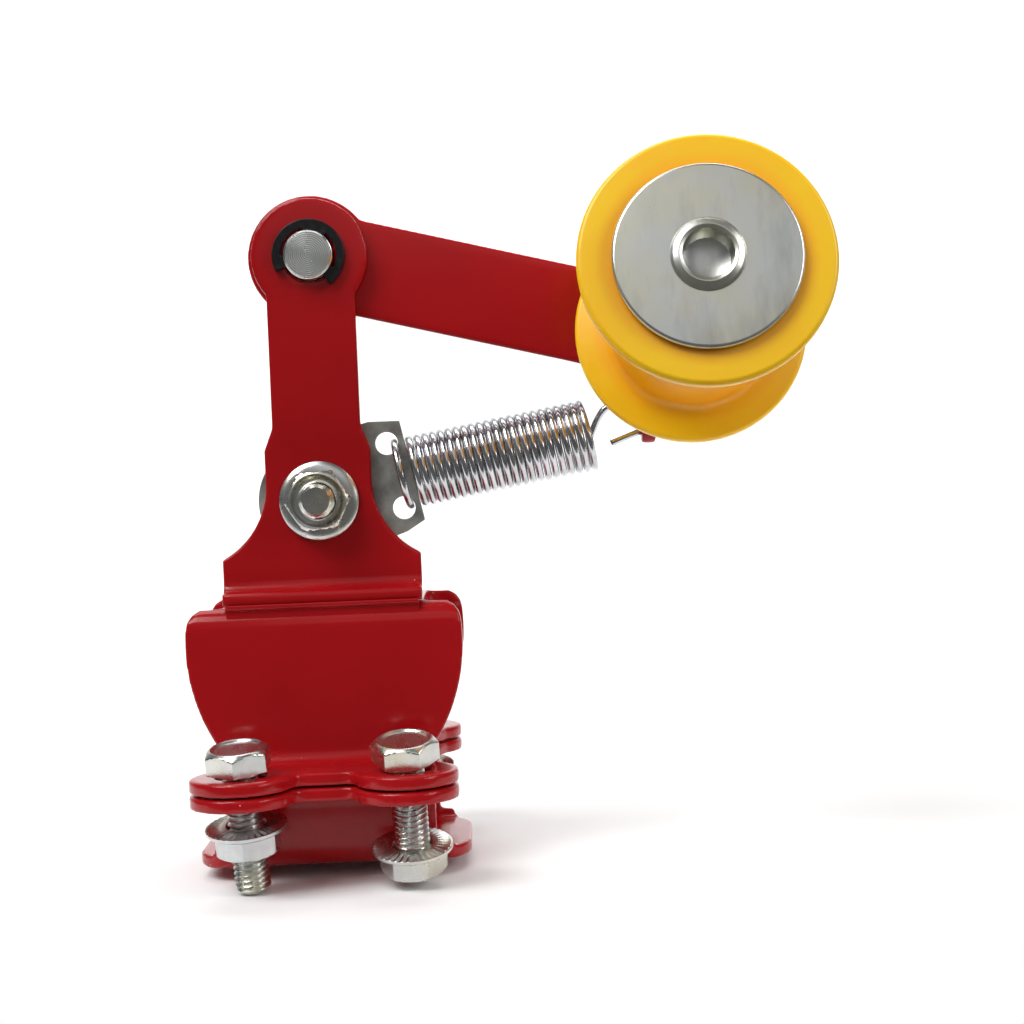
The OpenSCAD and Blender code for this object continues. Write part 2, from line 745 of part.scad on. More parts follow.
module arm_plate() {
    twist_inset = 0.02;
    twist_t = arm_t - 2 * twist_inset;
    twist_w = arm_w - 2 * twist_inset;
    color(red) difference() {
        union() {
            along_y(arm_front, arm_t) translate([0, pivot_z]) rotate(-arm_drop) {
                circle(r = arm_eye_r);
                translate([0, -arm_w / 2]) square([arm_flat_len, arm_w]);
            }
            hull() {
                along_y(arm_front + twist_inset, twist_t) translate([0, pivot_z]) rotate(-arm_drop)
                    translate([arm_flat_len - eps, -twist_w / 2]) square([0.1, twist_w]);
                at_axle() translate([0, 0, twist_inset - arm_t]) rotate(-arm_drop)
                    translate([eps - twist_end, -twist_w / 2, 0]) cube([0.1, twist_w, twist_t]);
            }
            at_axle() translate([0, 0, -arm_t]) rotate(-arm_drop) {
                translate([-twist_end, -arm_w / 2, 0]) cube([twist_end, arm_w, arm_t]);
                cylinder(r = arm_end_r, h = arm_t);
            }
            spring_lug();
        }
        along_y(arm_front - eps, arm_t + 2 * eps) translate([0, pivot_z]) circle(r = pin_r + seat_gap);
        at_axle() {
            translate([0, 0, -arm_t - eps]) cylinder(r = axle_r + axle_gap, h = arm_t + 2 * eps);
            washer_relief();
        }
    }
}

// Room behind the arm for its washer and nut, which the lug's upper corner would enter
module washer_relief() {
    relief_t = axle_washer_t + axle_nut_h;
    translate([0, 0, -arm_t - 0.02 - relief_t]) cylinder(r = axle_washer_r + side_gap, h = relief_t);
}

// Lug folded square to the arm, with the hole for the spring's hook
module spring_lug() {
    top_z = pivot_z - lug_x * tan(arm_drop) - arm_w / 2 + 1.5;
    translate([lug_x - lug_t / 2, lug_y, 0]) rotate([90, 0, 90]) linear_extrude(lug_t) difference() {
        union() {
            translate([0, lug_z + lug_round]) circle(r = lug_round);
            translate([-lug_round, lug_z + lug_round]) square([lug_w, top_z - lug_z - lug_round]);
        }
        translate([0, lug_hole_z]) circle(r = lug_hole_r);
    }
}

module pivot_pin() {
    tip = upright_front - pin_proud;
    groove_t = clip_t + 2 * clip_gap;
    reach = arm_back - tip;
    groove_at = clip_front - clip_gap - tip;
    color(zinc) translate([0, tip, pivot_z]) rotate([-90, 0, 0]) rotate_extrude() polygon([
        [0, 0], [pin_r - pin_chamfer, 0], [pin_r, pin_chamfer], [pin_r, groove_at], [groove_r, groove_at],
        [groove_r, groove_at + groove_t], [pin_r, groove_at + groove_t], [pin_r, reach],
        [pin_head_r, reach], [pin_head_r, reach + pin_head_t - pin_chamfer],
        [pin_head_r - pin_chamfer, reach + pin_head_t], [0, reach + pin_head_t]]);
}

// Wedge that spans twice a half angle round a direction
module wedge(turn, half) {
    reach = 2 * clip_r;
    rotate(turn) polygon([[0, 0], [reach * cos(half), reach * sin(half)], [reach, 0],
        [reach * cos(half), -reach * sin(half)]]);
}

module pivot_clip() {
    tooth_half = 13;
    grip_r = groove_r + clip_gap;
    color([0.06, 0.06, 0.07]) along_y(clip_front, clip_t) translate([0, pivot_z]) difference() {
        union() {
            difference() {
                circle(r = clip_r);
                circle(r = clip_relief_r);
            }
            intersection() {
                difference() {
                    circle(r = clip_relief_r + 0.2);
                    circle(r = grip_r);
                }
                union() {
                    wedge(clip_turn + 180, 2 * tooth_half);
                    for (side = [-1, 1]) wedge(clip_turn + side * (clip_mouth + tooth_half), tooth_half);
                }
            }
        }
        wedge(clip_turn, clip_mouth);
    }
}

module axle() {
    tail = arm_t + axle_washer_t + axle_nut_h + axle_tail;
    shoulder = front_cover_at + cover_t;
    color(zinc) at_axle() rotate_extrude() polygon([
        [0, -tail], [axle_r - 0.8, -tail], [axle_r, -tail + 0.8], [axle_r, shoulder],
        [flare_end_r, shoulder], [flare_end_r, shoulder + 0.5], [hollow_r + 0.5, axle_end_at],
        [hollow_r, axle_end_at - 0.5], [hollow_r, axle_end_at - hollow_depth],
        [0, axle_end_at - hollow_depth - 1.6]]);
}

// Cover with rounded rim and an inner boss on its +Z side
module cover() {
    rotate_extrude() difference() {
        union() {
            square([cover_r - cover_round, cover_t]);
            translate([0, cover_round]) square([cover_r, cover_t - cover_round]);
            translate([cover_r - cover_round, cover_round]) circle(r = cover_round);
            square([boss_r, cover_t + boss_t]);
        }
        translate([-1, -1]) square([1 + axle_r + axle_gap, cover_t + boss_t + 2]);
        translate([-2 * cover_r, -eps]) square([2 * cover_r, cover_t + 2]);
    }
}

module front_cover() {
    color(zinc) at_axle() translate([0, 0, front_cover_at + cover_t]) mirror([0, 0, 1]) cover();
}

module rear_cover() {
    color(zinc) at_axle() translate([0, 0, rear_cover_at]) cover();
}

// Ring with a ball track, between two radii
module bearing_ring(r_in, r_out) {
    rotate_extrude() difference() {
        translate([r_in, 0]) square([r_out - r_in, bearing_w]);
        translate([ball_circle_r, bearing_w / 2]) circle(r = track_r);
    }
}

module inner_ring(at) {
    color([0.7, 0.7, 0.72]) at_axle() translate([0, 0, at])
        bearing_ring(axle_r + axle_gap, ball_circle_r - 0.6 * ball_r);
}

module outer_ring(at) {
    color([0.7, 0.7, 0.72]) at_axle() translate([0, 0, at])
        bearing_ring(ball_circle_r + 0.6 * ball_r, bearing_r - seat_gap);
}

module balls(at) {
    color([0.8, 0.8, 0.82]) at_axle() for (i = [0 : ball_count - 1]) rotate(360 * i / ball_count)
        translate([ball_circle_r, 0, at + bearing_w / 2]) sphere(r = ball_r);
}

module front_inner_ring() { inner_ring(front_bearing_at); }
module rear_inner_ring() { inner_ring(rear_bearing_at); }
module front_outer_ring() { outer_ring(front_bearing_at); }
module rear_outer_ring() { outer_ring(rear_bearing_at); }
module front_balls() { balls(front_bearing_at); }
module rear_balls() { balls(rear_bearing_at); }

// Tube on the axle
module tube_on_axle(at, h, r) {
    at_axle() translate([0, 0, at]) difference() {
        cylinder(r = r, h = h);
        translate([0, 0, -eps]) cylinder(r = axle_r + axle_gap, h = h + 2 * eps);
    }
}

module axle_sleeve() {
    sleeve_at = rear_bearing_at + bearing_w;
    color(zinc) tube_on_axle(sleeve_at, front_bearing_at - sleeve_at, axle_r + 2);
}

module axle_spacer() {
    color(zinc) tube_on_axle(0, spacer_t, spacer_r);
}

module axle_washer() {
    color(zinc) tube_on_axle(-arm_t - axle_washer_t, axle_washer_t, axle_washer_r);
}

module axle_nut() {
    color(zinc) at_axle() translate([0, 0, -arm_t - axle_washer_t]) mirror([0, 0, 1]) difference() {
        hex_bar(axle_nut_af, axle_nut_h);
        translate([0, 0, -eps]) cylinder(r = axle_r + axle_gap, h = axle_nut_h + 2 * eps);
    }
}

// Half section of the spool's outside, from one end to the middle
module spool_half_section() {
    fillet_at = flange_root_t + core_fillet;
    difference() {
        union() {
            polygon([[0, 0], [roller_r - rim_round, 0], [roller_r, rim_round],
                [roller_r, rim_t - rim_round], [roller_r - rim_round, rim_t],
                [core_r + core_fillet, flange_root_t], [core_r, flange_root_t],
                [core_r, roller_w / 2], [0, roller_w / 2]]);
            translate([roller_r - rim_round, rim_round]) circle(r = rim_round);
            translate([roller_r - rim_round, rim_t - rim_round]) circle(r = rim_round);
            translate([core_r, flange_root_t]) square(core_fillet);
        }
        translate([core_r + core_fillet, fillet_at]) circle(r = core_fillet);
    }
}

module roller_spool() {
    color([0.98, 0.68, 0.05]) at_axle() translate([0, 0, spool_at]) difference() {
        rotate_extrude() {
            intersection() {
                union() {
                    spool_half_section();
                    translate([0, roller_w]) mirror([0, 1]) spool_half_section();
                }
                square([roller_r, roller_w]);
            }
        }
        translate([0, 0, -eps]) cylinder(r = bearing_r, h = eps + bearing_seat);
        translate([0, 0, roller_w - bearing_seat]) cylinder(r = bearing_r, h = eps + bearing_seat);
        translate([0, 0, eps]) cylinder(r = lip_r, h = roller_w - 2 * eps);
    }
}

upright_plate();
foot_weld();
upper_saddle();
lower_saddle();
clamp_bolts();
clamp_nuts();
spring_plate();
plate_bolt();
plate_washer();
plate_nut();
spring();
arm_plate();
pivot_pin();
pivot_clip();
axle();
front_cover();
rear_cover();
front_inner_ring();
rear_inner_ring();
axle_sleeve();
axle_spacer();
axle_washer();
axle_nut();
roller_spool();
front_outer_ring();
rear_outer_ring();
front_balls();
rear_balls();
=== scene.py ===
"""Chain tensioner: paint, plating, threads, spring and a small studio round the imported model."""

import json
import math

import bmesh
import bpy
import numpy as np
from bpy.props import FloatProperty, FloatVectorProperty, IntProperty, PointerProperty
from bpy.types import Operator, Panel, PropertyGroup
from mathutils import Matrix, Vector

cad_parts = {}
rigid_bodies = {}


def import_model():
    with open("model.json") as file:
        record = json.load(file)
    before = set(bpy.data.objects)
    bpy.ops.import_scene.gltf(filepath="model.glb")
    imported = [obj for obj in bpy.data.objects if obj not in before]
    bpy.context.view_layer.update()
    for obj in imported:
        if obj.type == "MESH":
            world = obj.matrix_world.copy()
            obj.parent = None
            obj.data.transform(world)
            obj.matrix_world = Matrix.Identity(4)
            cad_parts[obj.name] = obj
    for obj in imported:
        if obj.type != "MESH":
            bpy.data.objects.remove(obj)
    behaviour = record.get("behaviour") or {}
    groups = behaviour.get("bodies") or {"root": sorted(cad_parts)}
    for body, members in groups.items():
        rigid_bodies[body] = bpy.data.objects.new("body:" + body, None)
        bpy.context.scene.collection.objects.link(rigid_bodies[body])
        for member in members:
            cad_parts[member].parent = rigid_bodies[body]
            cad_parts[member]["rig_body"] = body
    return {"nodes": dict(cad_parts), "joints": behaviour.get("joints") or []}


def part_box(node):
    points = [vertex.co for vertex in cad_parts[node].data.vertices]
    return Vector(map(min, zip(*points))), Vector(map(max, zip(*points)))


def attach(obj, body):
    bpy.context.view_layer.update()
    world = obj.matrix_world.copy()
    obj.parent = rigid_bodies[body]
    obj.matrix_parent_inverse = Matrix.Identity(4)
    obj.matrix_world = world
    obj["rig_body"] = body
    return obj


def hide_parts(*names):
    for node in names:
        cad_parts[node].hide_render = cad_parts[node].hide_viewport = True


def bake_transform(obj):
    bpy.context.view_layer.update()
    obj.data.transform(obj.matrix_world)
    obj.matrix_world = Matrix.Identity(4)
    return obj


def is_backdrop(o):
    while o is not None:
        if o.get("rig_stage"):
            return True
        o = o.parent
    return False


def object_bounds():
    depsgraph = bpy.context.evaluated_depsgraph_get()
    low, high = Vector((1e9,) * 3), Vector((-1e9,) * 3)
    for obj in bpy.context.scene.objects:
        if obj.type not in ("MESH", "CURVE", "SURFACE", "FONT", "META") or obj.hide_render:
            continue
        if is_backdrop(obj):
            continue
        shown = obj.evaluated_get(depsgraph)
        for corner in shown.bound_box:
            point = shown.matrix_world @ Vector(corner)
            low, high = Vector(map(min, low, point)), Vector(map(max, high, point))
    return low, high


bl_info = {
    "name": "Chain Tensioner",
    "version": (1, 0, 0),
    "blender": (4, 5, 0),
    "location": "View3D > Sidebar > Tensioner",
    "description": "Builds the finished look of a sprung chain tensioner",
    "category": "Object",
}

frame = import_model()
NODES = frame["nodes"]
JOINTS = {joint["name"]: joint for joint in frame["joints"]}
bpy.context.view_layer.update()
MM = 0.001
TURN = 2 * math.pi
COAT_ROUNDS = 8


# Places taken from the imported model

def unit(v):
    """Vector of length one."""
    v = np.asarray(v, float)
    return v / np.linalg.norm(v)


def frame_on(axis, origin, side):
    """4 x 4 matrix whose Z is the axis and whose X is as near as it can be to a side direction."""
    z = unit(axis)
    x = unit(np.asarray(side, float) - np.dot(side, z) * z)
    m = np.eye(4)
    m[:3, 0], m[:3, 1], m[:3, 2], m[:3, 3] = x, np.cross(z, x), z, origin
    return m


AXLE = frame_on(JOINTS["roller_spin"]["axis"], JOINTS["roller_spin"]["pos_m"], (1, 0, 0))
PIVOT = np.array(JOINTS["arm_pivot"]["pos_m"])
PIN_LOW, PIN_HIGH = (np.array(v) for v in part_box("pivot_pin"))
EARS_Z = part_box("upper_saddle")[0][2] / MM
PLATE_FRONT_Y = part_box("spring_plate")[0][1] / MM


# Numpy shapes and meshes

def grid_faces(rows, cols, close_rows, close_cols):
    """Quads of a grid of points, row by row, closed on itself where asked."""
    i = np.arange(rows if close_rows else rows - 1)
    j = np.arange(cols if close_cols else cols - 1)
    a, b = np.meshgrid(i, j, indexing="ij")
    c, d = (a + 1) % rows, (b + 1) % cols
    return np.stack([a * cols + b, a * cols + d, c * cols + d, c * cols + b], -1).reshape(-1, 4)


def mesh_object(name, points, faces, material, smooth_angle=35):
    """Mesh piece from arrays of points and faces, shaded smooth up to an angle."""
    mesh = bpy.data.meshes.new(name)
    mesh.from_pydata(points.tolist(), [], faces.tolist())
    mesh.validate()
    piece = bpy.data.objects.new(name, mesh)
    bpy.context.scene.collection.objects.link(piece)
    settle(piece, smooth_angle)
    mesh.materials.append(material)
    return piece


def settle(piece, smooth_angle):
    """Merges doubled points, turns the faces outwards and marks the edges sharper than an angle."""
    mesh = piece.data
    bm = bmesh.new()
    bm.from_mesh(mesh)
    bmesh.ops.remove_doubles(bm, verts=bm.verts, dist=2e-6)
    bmesh.ops.recalc_face_normals(bm, faces=bm.faces)
    bm.to_mesh(mesh)
    bm.free()
    mesh.shade_smooth()
    mesh.set_sharp_from_angle(angle=math.radians(smooth_angle))


def placed(points, matrix):
    """Points in millimetres carried into the model by a matrix in metres."""
    flat = points.reshape(-1, 3) * MM
    return flat @ matrix[:3, :3].T + matrix[:3, 3]


def grid_piece(name, points, matrix, material, close_rows=False, smooth_angle=35):
    """Piece from a grid of points in millimetres whose columns run once round."""
    rows, cols = points.shape[:2]
    return mesh_object(name, placed(points, matrix), grid_faces(rows, cols, close_rows, True), material,
                       smooth_angle)


def rounded(corners, steps=6):
    """Profile through corners (r, z, radius): each corner becomes an arc of its radius."""
    corners = np.asarray(corners, float)
    out = []
    for i, (r, z, radius) in enumerate(corners):
        here = np.array([r, z])
        if radius == 0 or i in (0, len(corners) - 1):
            out.append(here)
            continue
        back, ahead = unit(corners[i - 1, :2] - here), unit(corners[i + 1, :2] - here)
        half = math.acos(np.clip(back @ ahead, -1, 1)) / 2
        reach = radius / math.tan(half)
        centre = here + unit(back + ahead) * radius / math.sin(half)
        start, end = here + back * reach - centre, here + ahead * reach - centre
        t = np.linspace(0, 1, steps + 1)[:, None]
        arc = start * (1 - t) + end * t
        out.extend(centre + arc / np.linalg.norm(arc, axis=1)[:, None] * radius)
    return np.array(out)


def revolved(profile, cols):
    """Surface of revolution: profile points (r, z) carried round the Z axis."""
    a = np.arange(cols) * TURN / cols
    r, z = profile[:, :1], profile[:, 1:]
    return np.stack([r * np.cos(a), r * np.sin(a), z + 0 * a], -1)


def hexagon_r(a, flats):
    """Distance from the middle to a hexagon's side in direction a, with a corner at zero."""
    return flats / 2 / np.cos(a % (math.pi / 3) - math.pi / 6)


def capped_hex(rows, flats, cols=120):
    """Surface from rows (limit, z): each row is a hexagon cut down to a circle of the limit."""
    a = np.arange(cols) * TURN / cols
    limit = np.array([row[0] for row in rows])[:, None]
    z = np.array([row[1] for row in rows])[:, None]
    r = np.minimum(limit, hexagon_r(a, flats))
    return np.stack([r * np.cos(a), r * np.sin(a), z + 0 * a], -1)


def thread_surface(radius, length, pitch, depth, end_taper, cols=40, per_pitch=8):
    """Threaded bar: the radius falls by a clipped V along a helix, and the far end tapers."""
    rows = int(length / pitch * per_pitch)
    z = np.linspace(0, -length, rows)[:, None]
    a = np.arange(cols) * TURN / cols
    phase = (z / pitch - a / TURN) % 1
    valley = np.clip(1.25 * (1 - np.abs(2 * phase - 1)) - 0.12, 0, 1)
    limit = radius - end_taper + (z + length) * 0.9
    r = np.minimum(radius - depth * valley, limit)
    body = np.stack([r * np.cos(a), r * np.sin(a), z + 0 * a], -1)
    tip = np.zeros((1, cols, 3))
    tip[0, :, 2] = -length
    return np.concatenate([body, tip])


def tube(path, radius, cols):
    """Wire: a circle carried along a path with its normals turned as little as possible."""
    ahead = np.gradient(path, axis=0)
    ahead /= np.linalg.norm(ahead, axis=1)[:, None]
    normals = np.zeros_like(path)
    n = np.cross(ahead[0], [0.3, 1, 0.2])
    for i, t in enumerate(ahead):
        n = n - np.dot(n, t) * t
        n /= np.linalg.norm(n)
        normals[i] = n
    sides = np.cross(ahead, normals)
    a = (np.arange(cols) * TURN / cols)[None, :, None]
    ring = path[:, None] + radius * (np.cos(a) * normals[:, None] + np.sin(a) * sides[:, None])
    ends = [path[:1, None] + 0 * ring[:1], path[-1:, None] + 0 * ring[-1:]]
    dome = [ring[:1] * 0.55 + ends[0] * 0.45 - ahead[0] * radius * 0.25,
            ring[-1:] * 0.55 + ends[1] * 0.45 + ahead[-1] * radius * 0.25]
    return np.concatenate([ends[0] - ahead[0] * radius * 0.3, dome[0], ring, dome[1],
                           ends[1] + ahead[-1] * radius * 0.3])


def copy_of(node, name, material):
    """Copy of a node's mesh with its doubles and the cuts across its flat faces merged."""
    mesh = NODES[node].data.copy()
    mesh.name = name
    mesh.materials.clear()
    mesh.materials.append(material)
    piece = bpy.data.objects.new(name, mesh)
    bpy.context.scene.collection.objects.link(piece)
    bm = bmesh.new()
    bm.from_mesh(mesh)
    bmesh.ops.remove_doubles(bm, verts=bm.verts, dist=3e-6)
    bmesh.ops.dissolve_limit(bm, angle_limit=math.radians(0.6), verts=bm.verts, edges=bm.edges)
    bm.to_mesh(mesh)
    bm.free()
    for attribute in ("custom_normal", "sharp_face", "sharp_edge"):
        if attribute in mesh.attributes:
            mesh.attributes.remove(mesh.attributes[attribute])
    mesh.shade_smooth()
    mesh.set_sharp_from_angle(angle=math.radians(30))
    return piece


def softened(node, name, material, width):
    """Copy of a node's mesh whose sharp edges are rounded by a bevel of a width in metres."""
    piece = copy_of(node, name, material)
    bevel = piece.modifiers.new("Rounded edges", "BEVEL")
    bevel.width = width
    bevel.segments = 3
    bevel.limit_method = "ANGLE"
    bevel.angle_limit = math.radians(32)
    bevel.harden_normals = True
    return piece


def coated(node, name, material, grain):
    """Copy of a node's mesh remade as an even skin of a grain in metres, then smoothed like thick paint."""
    piece = copy_of(node, name, material)
    skin = piece.modifiers.new("Even skin", "REMESH")
    skin.mode = "VOXEL"
    skin.voxel_size = grain
    skin.use_smooth_shade = True
    flow = piece.modifiers.new("Flowed paint", "SMOOTH")
    flow.factor = 0.5
    flow.iterations = COAT_ROUNDS
    return piece


def stand_for(piece, node):
    """Makes a piece ride on its node's body and replace the node."""
    body = NODES[node]["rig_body"]
    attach(piece, body)
    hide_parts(node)
    return piece


# Materials

def new_material(name):
    """Empty node material and its main shader."""
    material = bpy.data.materials.new(name)
    material.use_nodes = True
    return material, material.node_tree, material.node_tree.nodes["Principled BSDF"]


def node_in(tree, kind, **values):
    """Adds a node and sets its sockets or its own fields by name."""
    made = tree.nodes.new(kind)
    for key, value in values.items():
        if key in made.inputs:
            made.inputs[key].default_value = value
        else:
            setattr(made, key.lower(), value)
    return made


def object_space(tree, matrix=None):
    """Object coordinates, moved so that a matrix's origin and axes become zero and X, Y and Z."""
    source = node_in(tree, "ShaderNodeTexCoord").outputs["Object"]
    if matrix is None:
        return source
    shift = node_in(tree, "ShaderNodeVectorMath", operation="SUBTRACT")
    shift.inputs[1].default_value = matrix[:3, 3]
    tree.links.new(source, shift.inputs[0])
    parts = node_in(tree, "ShaderNodeCombineXYZ")
    for k in range(3):
        dot = node_in(tree, "ShaderNodeVectorMath", operation="DOT_PRODUCT")
        dot.inputs[1].default_value = matrix[:3, k]
        tree.links.new(shift.outputs[0], dot.inputs[0])
        tree.links.new(dot.outputs["Value"], parts.inputs[k])
    return parts.outputs[0]


def noise(tree, vector, scale, detail=3.0, rough=0.5, stretch=None):
    """Noise of a number of cells per metre, stretched along the axes where asked."""
    if stretch is not None:
        mapping = node_in(tree, "ShaderNodeMapping", Scale=stretch)
        tree.links.new(vector, mapping.inputs["Vector"])
        vector = mapping.outputs[0]
    made = node_in(tree, "ShaderNodeTexNoise", Scale=scale, Detail=detail, Roughness=rough)
    tree.links.new(vector, made.inputs["Vector"])
    return made.outputs["Fac"]


def ramp(tree, factor, stops):
    """Colour ramp from (place, colour) pairs."""
    made = node_in(tree, "ShaderNodeValToRGB")
    elements = made.color_ramp.elements
    while len(elements) < len(stops):
        elements.new(0.5)
    for element, (place, colour) in zip(elements, stops):
        element.position = place
        element.color = (*colour, 1)
    tree.links.new(factor, made.inputs[0])
    return made.outputs["Color"]


def remap(tree, value, low, high, out_low, out_high):
    """Value carried from one range to another and held inside it."""
    made = node_in(tree, "ShaderNodeMapRange")
    for socket, number in zip(made.inputs[1:5], (low, high, out_low, out_high)):
        socket.default_value = number
    tree.links.new(value, made.inputs[0])
    return made.outputs[0]


def mix(tree, factor, first, second):
    """Mixed colour: factor and colours are sockets or plain values."""
    made = node_in(tree, "ShaderNodeMix", data_type="RGBA")
    for socket, value in ((made.inputs[0], factor), (made.inputs[6], first), (made.inputs[7], second)):
        if isinstance(value, bpy.types.NodeSocket):
            tree.links.new(value, socket)
        else:
            socket.default_value = value if np.isscalar(value) else (*value, 1)
    return made.outputs[2]


def roughen(tree, shader, value, low, high, smooth, rough):
    """Roughness from smooth to rough as a value goes from low to high."""
    tree.links.new(remap(tree, value, low, high, smooth, rough), shader.inputs["Roughness"])


def from_axis(tree, space):
    """Distance from the Z axis of a space."""
    flat = node_in(tree, "ShaderNodeVectorMath", operation="MULTIPLY")
    flat.inputs[1].default_value = (1, 1, 0)
    tree.links.new(space, flat.inputs[0])
    length = node_in(tree, "ShaderNodeVectorMath", operation="LENGTH")
    tree.links.new(flat.outputs[0], length.inputs[0])
    return length.outputs["Value"]


def bump(tree, shader, heights):
    """Chain of bumps from (height socket, strength, distance in metres)."""
    normal = None
    for height, strength, distance in heights:
        made = node_in(tree, "ShaderNodeBump", Strength=strength, Distance=distance)
        tree.links.new(height, made.inputs["Height"])
        if normal is not None:
            tree.links.new(normal, made.inputs["Normal"])
        normal = made.outputs[0]
    tree.links.new(normal, shader.inputs["Normal"])
    if "Coat Normal" in shader.inputs:
        tree.links.new(normal, shader.inputs["Coat Normal"])


def red_enamel(settings):
    """Thick glossy red paint: faint orange peel, slow changes of depth and dust specks."""
    material, tree, shader = new_material("red enamel")
    space = object_space(tree)
    depth = noise(tree, space, 35, 2)
    red = settings.paint_red
    deep = [channel * 0.72 for channel in red]
    colour = mix(tree, depth, deep, red)
    specks = node_in(tree, "ShaderNodeTexVoronoi", Scale=420.0)
    tree.links.new(space, specks.inputs["Vector"])
    dust = remap(tree, specks.outputs["Distance"], 0.035, 0.075, 1, 0)
    picked = remap(tree, specks.outputs["Color"], 0.72, 0.75, 0, 1)
    both = node_in(tree, "ShaderNodeMath", operation="MULTIPLY")
    tree.links.new(dust, both.inputs[0])
    tree.links.new(picked, both.inputs[1])
    colour = mix(tree, both.outputs[0], colour, (0.75, 0.42, 0.4))
    tree.links.new(colour, shader.inputs["Base Color"])
    roughen(tree, shader, noise(tree, space, 60, 3), 0, 1, 0.12, 0.28)
    shader.inputs["Specular IOR Level"].default_value = 0.16
    shader.inputs["Coat Weight"].default_value = 0.25
    shader.inputs["Coat Roughness"].default_value = 0.1
    bump(tree, shader, [(noise(tree, space, 260, 1), 0.05, 0.0002)])
    return material


def zinc_plate(name, settings, space_matrix=None, rings=0.0, smears=0.5, rough=(0.2, 0.36)):
    """Bright zinc plating: tints, wiped smears and, where asked, turning rings of a pitch in metres."""
    material, tree, shader = new_material(name)
    space = object_space(tree, space_matrix)
    silver = settings.zinc_silver
    tints = ramp(tree, noise(tree, space, 55, 3), [
        (0.3, (silver[0] * 0.92, silver[1] * 0.95, silver[2] * 1.02)), (0.5, silver),
        (0.62, (silver[0] * 1.02, silver[1] * 0.98, silver[2] * 0.86)),
        (0.75, (silver[0] * 0.9, silver[1] * 0.9, silver[2] * 0.92))])
    wiped = noise(tree, space, 90, 5, 0.65, (1.0, 0.25, 1.0))
    colour = mix(tree, remap(tree, wiped, 0.5, 0.72, 0, smears), tints,
                 [channel * 0.62 for channel in silver])
    tree.links.new(colour, shader.inputs["Base Color"])
    roughen(tree, shader, wiped, 0.3, 0.7, *rough)
    shader.inputs["Metallic"].default_value = 1.0
    heights = [(noise(tree, space, 900, 2), 0.12, 0.00005), (noise(tree, space, 160, 2), 0.1, 0.0002)]
    if rings:
        wave = node_in(tree, "ShaderNodeMath", operation="SINE")
        times = node_in(tree, "ShaderNodeMath", operation="MULTIPLY")
        times.inputs[1].default_value = TURN / rings
        tree.links.new(from_axis(tree, space), times.inputs[0])
        tree.links.new(times.outputs[0], wave.inputs[0])
        heights.append((wave.outputs[0], 0.35, 0.00006))
    bump(tree, shader, heights)
    return material


def dull_sheet(settings):
    """Dull grey steel sheet with rolling marks and darker patches."""
    material, tree, shader = new_material("dull steel sheet")
    space = object_space(tree)
    grey = settings.sheet_grey
    patches = ramp(tree, noise(tree, space, 140, 5, 0.6), [
        (0.3, [channel * 0.55 for channel in grey]), (0.5, grey),
        (0.7, [channel * 1.35 for channel in grey])])
    tree.links.new(patches, shader.inputs["Base Color"])
    roughen(tree, shader, noise(tree, space, 300, 4), 0.3, 0.7, 0.38, 0.6)
    shader.inputs["Metallic"].default_value = 0.85
    bump(tree, shader, [(noise(tree, space, 1500, 3), 0.25, 0.00005),
                        (noise(tree, space, 420, 3, 0.5, (1.0, 1.0, 0.2)), 0.2, 0.0001)])
    return material


def drawn_wire(settings):
    """Bright drawn spring wire with fine marks along it."""
    material, tree, shader = new_material("drawn spring wire")
    space = object_space(tree)
    steel = settings.wire_steel
    marks = remap(tree, noise(tree, space, 260, 3), 0.4, 0.7, 0, 1)
    tone = mix(tree, marks, steel, [channel * 0.75 for channel in steel])
    tree.links.new(tone, shader.inputs["Base Color"])
    roughen(tree, shader, noise(tree, space, 500, 3), 0.3, 0.7, 0.12, 0.24)
    shader.inputs["Metallic"].default_value = 1.0
    bump(tree, shader, [(noise(tree, space, 1400, 2), 0.1, 0.00004)])
    return material


def black_oxide(settings):
    """Blackened spring steel with worn lighter patches."""
    material, tree, shader = new_material("black oxide")
    space = object_space(tree)
    black = settings.clip_black
    bare = [channel * 2.2 + 0.01 for channel in black]
    worn = ramp(tree, noise(tree, space, 500, 3), [(0.5, black), (0.85, bare)])
    tree.links.new(worn, shader.inputs["Base Color"])
    roughen(tree, shader, noise(tree, space, 900, 3), 0.3, 0.7, 0.3, 0.5)
    shader.inputs["Metallic"].default_value = 0.6
    bump(tree, shader, [(noise(tree, space, 1200, 2), 0.08, 0.00003)])
    return material


def polished_bearing():
    """Ground bearing steel with faint grinding bands."""
    material, tree, shader = new_material("bearing steel")
    space = object_space(tree, AXLE)
    tone = ramp(tree, noise(tree, space, 700, 3, 0.5, (0.2, 0.2, 1.0)),
                [(0.35, (0.5, 0.5, 0.52)), (0.65, (0.72, 0.72, 0.74))])
    tree.links.new(tone, shader.inputs["Base Color"])
    roughen(tree, shader, noise(tree, space, 500, 2), 0.3, 0.7, 0.1, 0.2)
    shader.inputs["Metallic"].default_value = 1.0
    return material


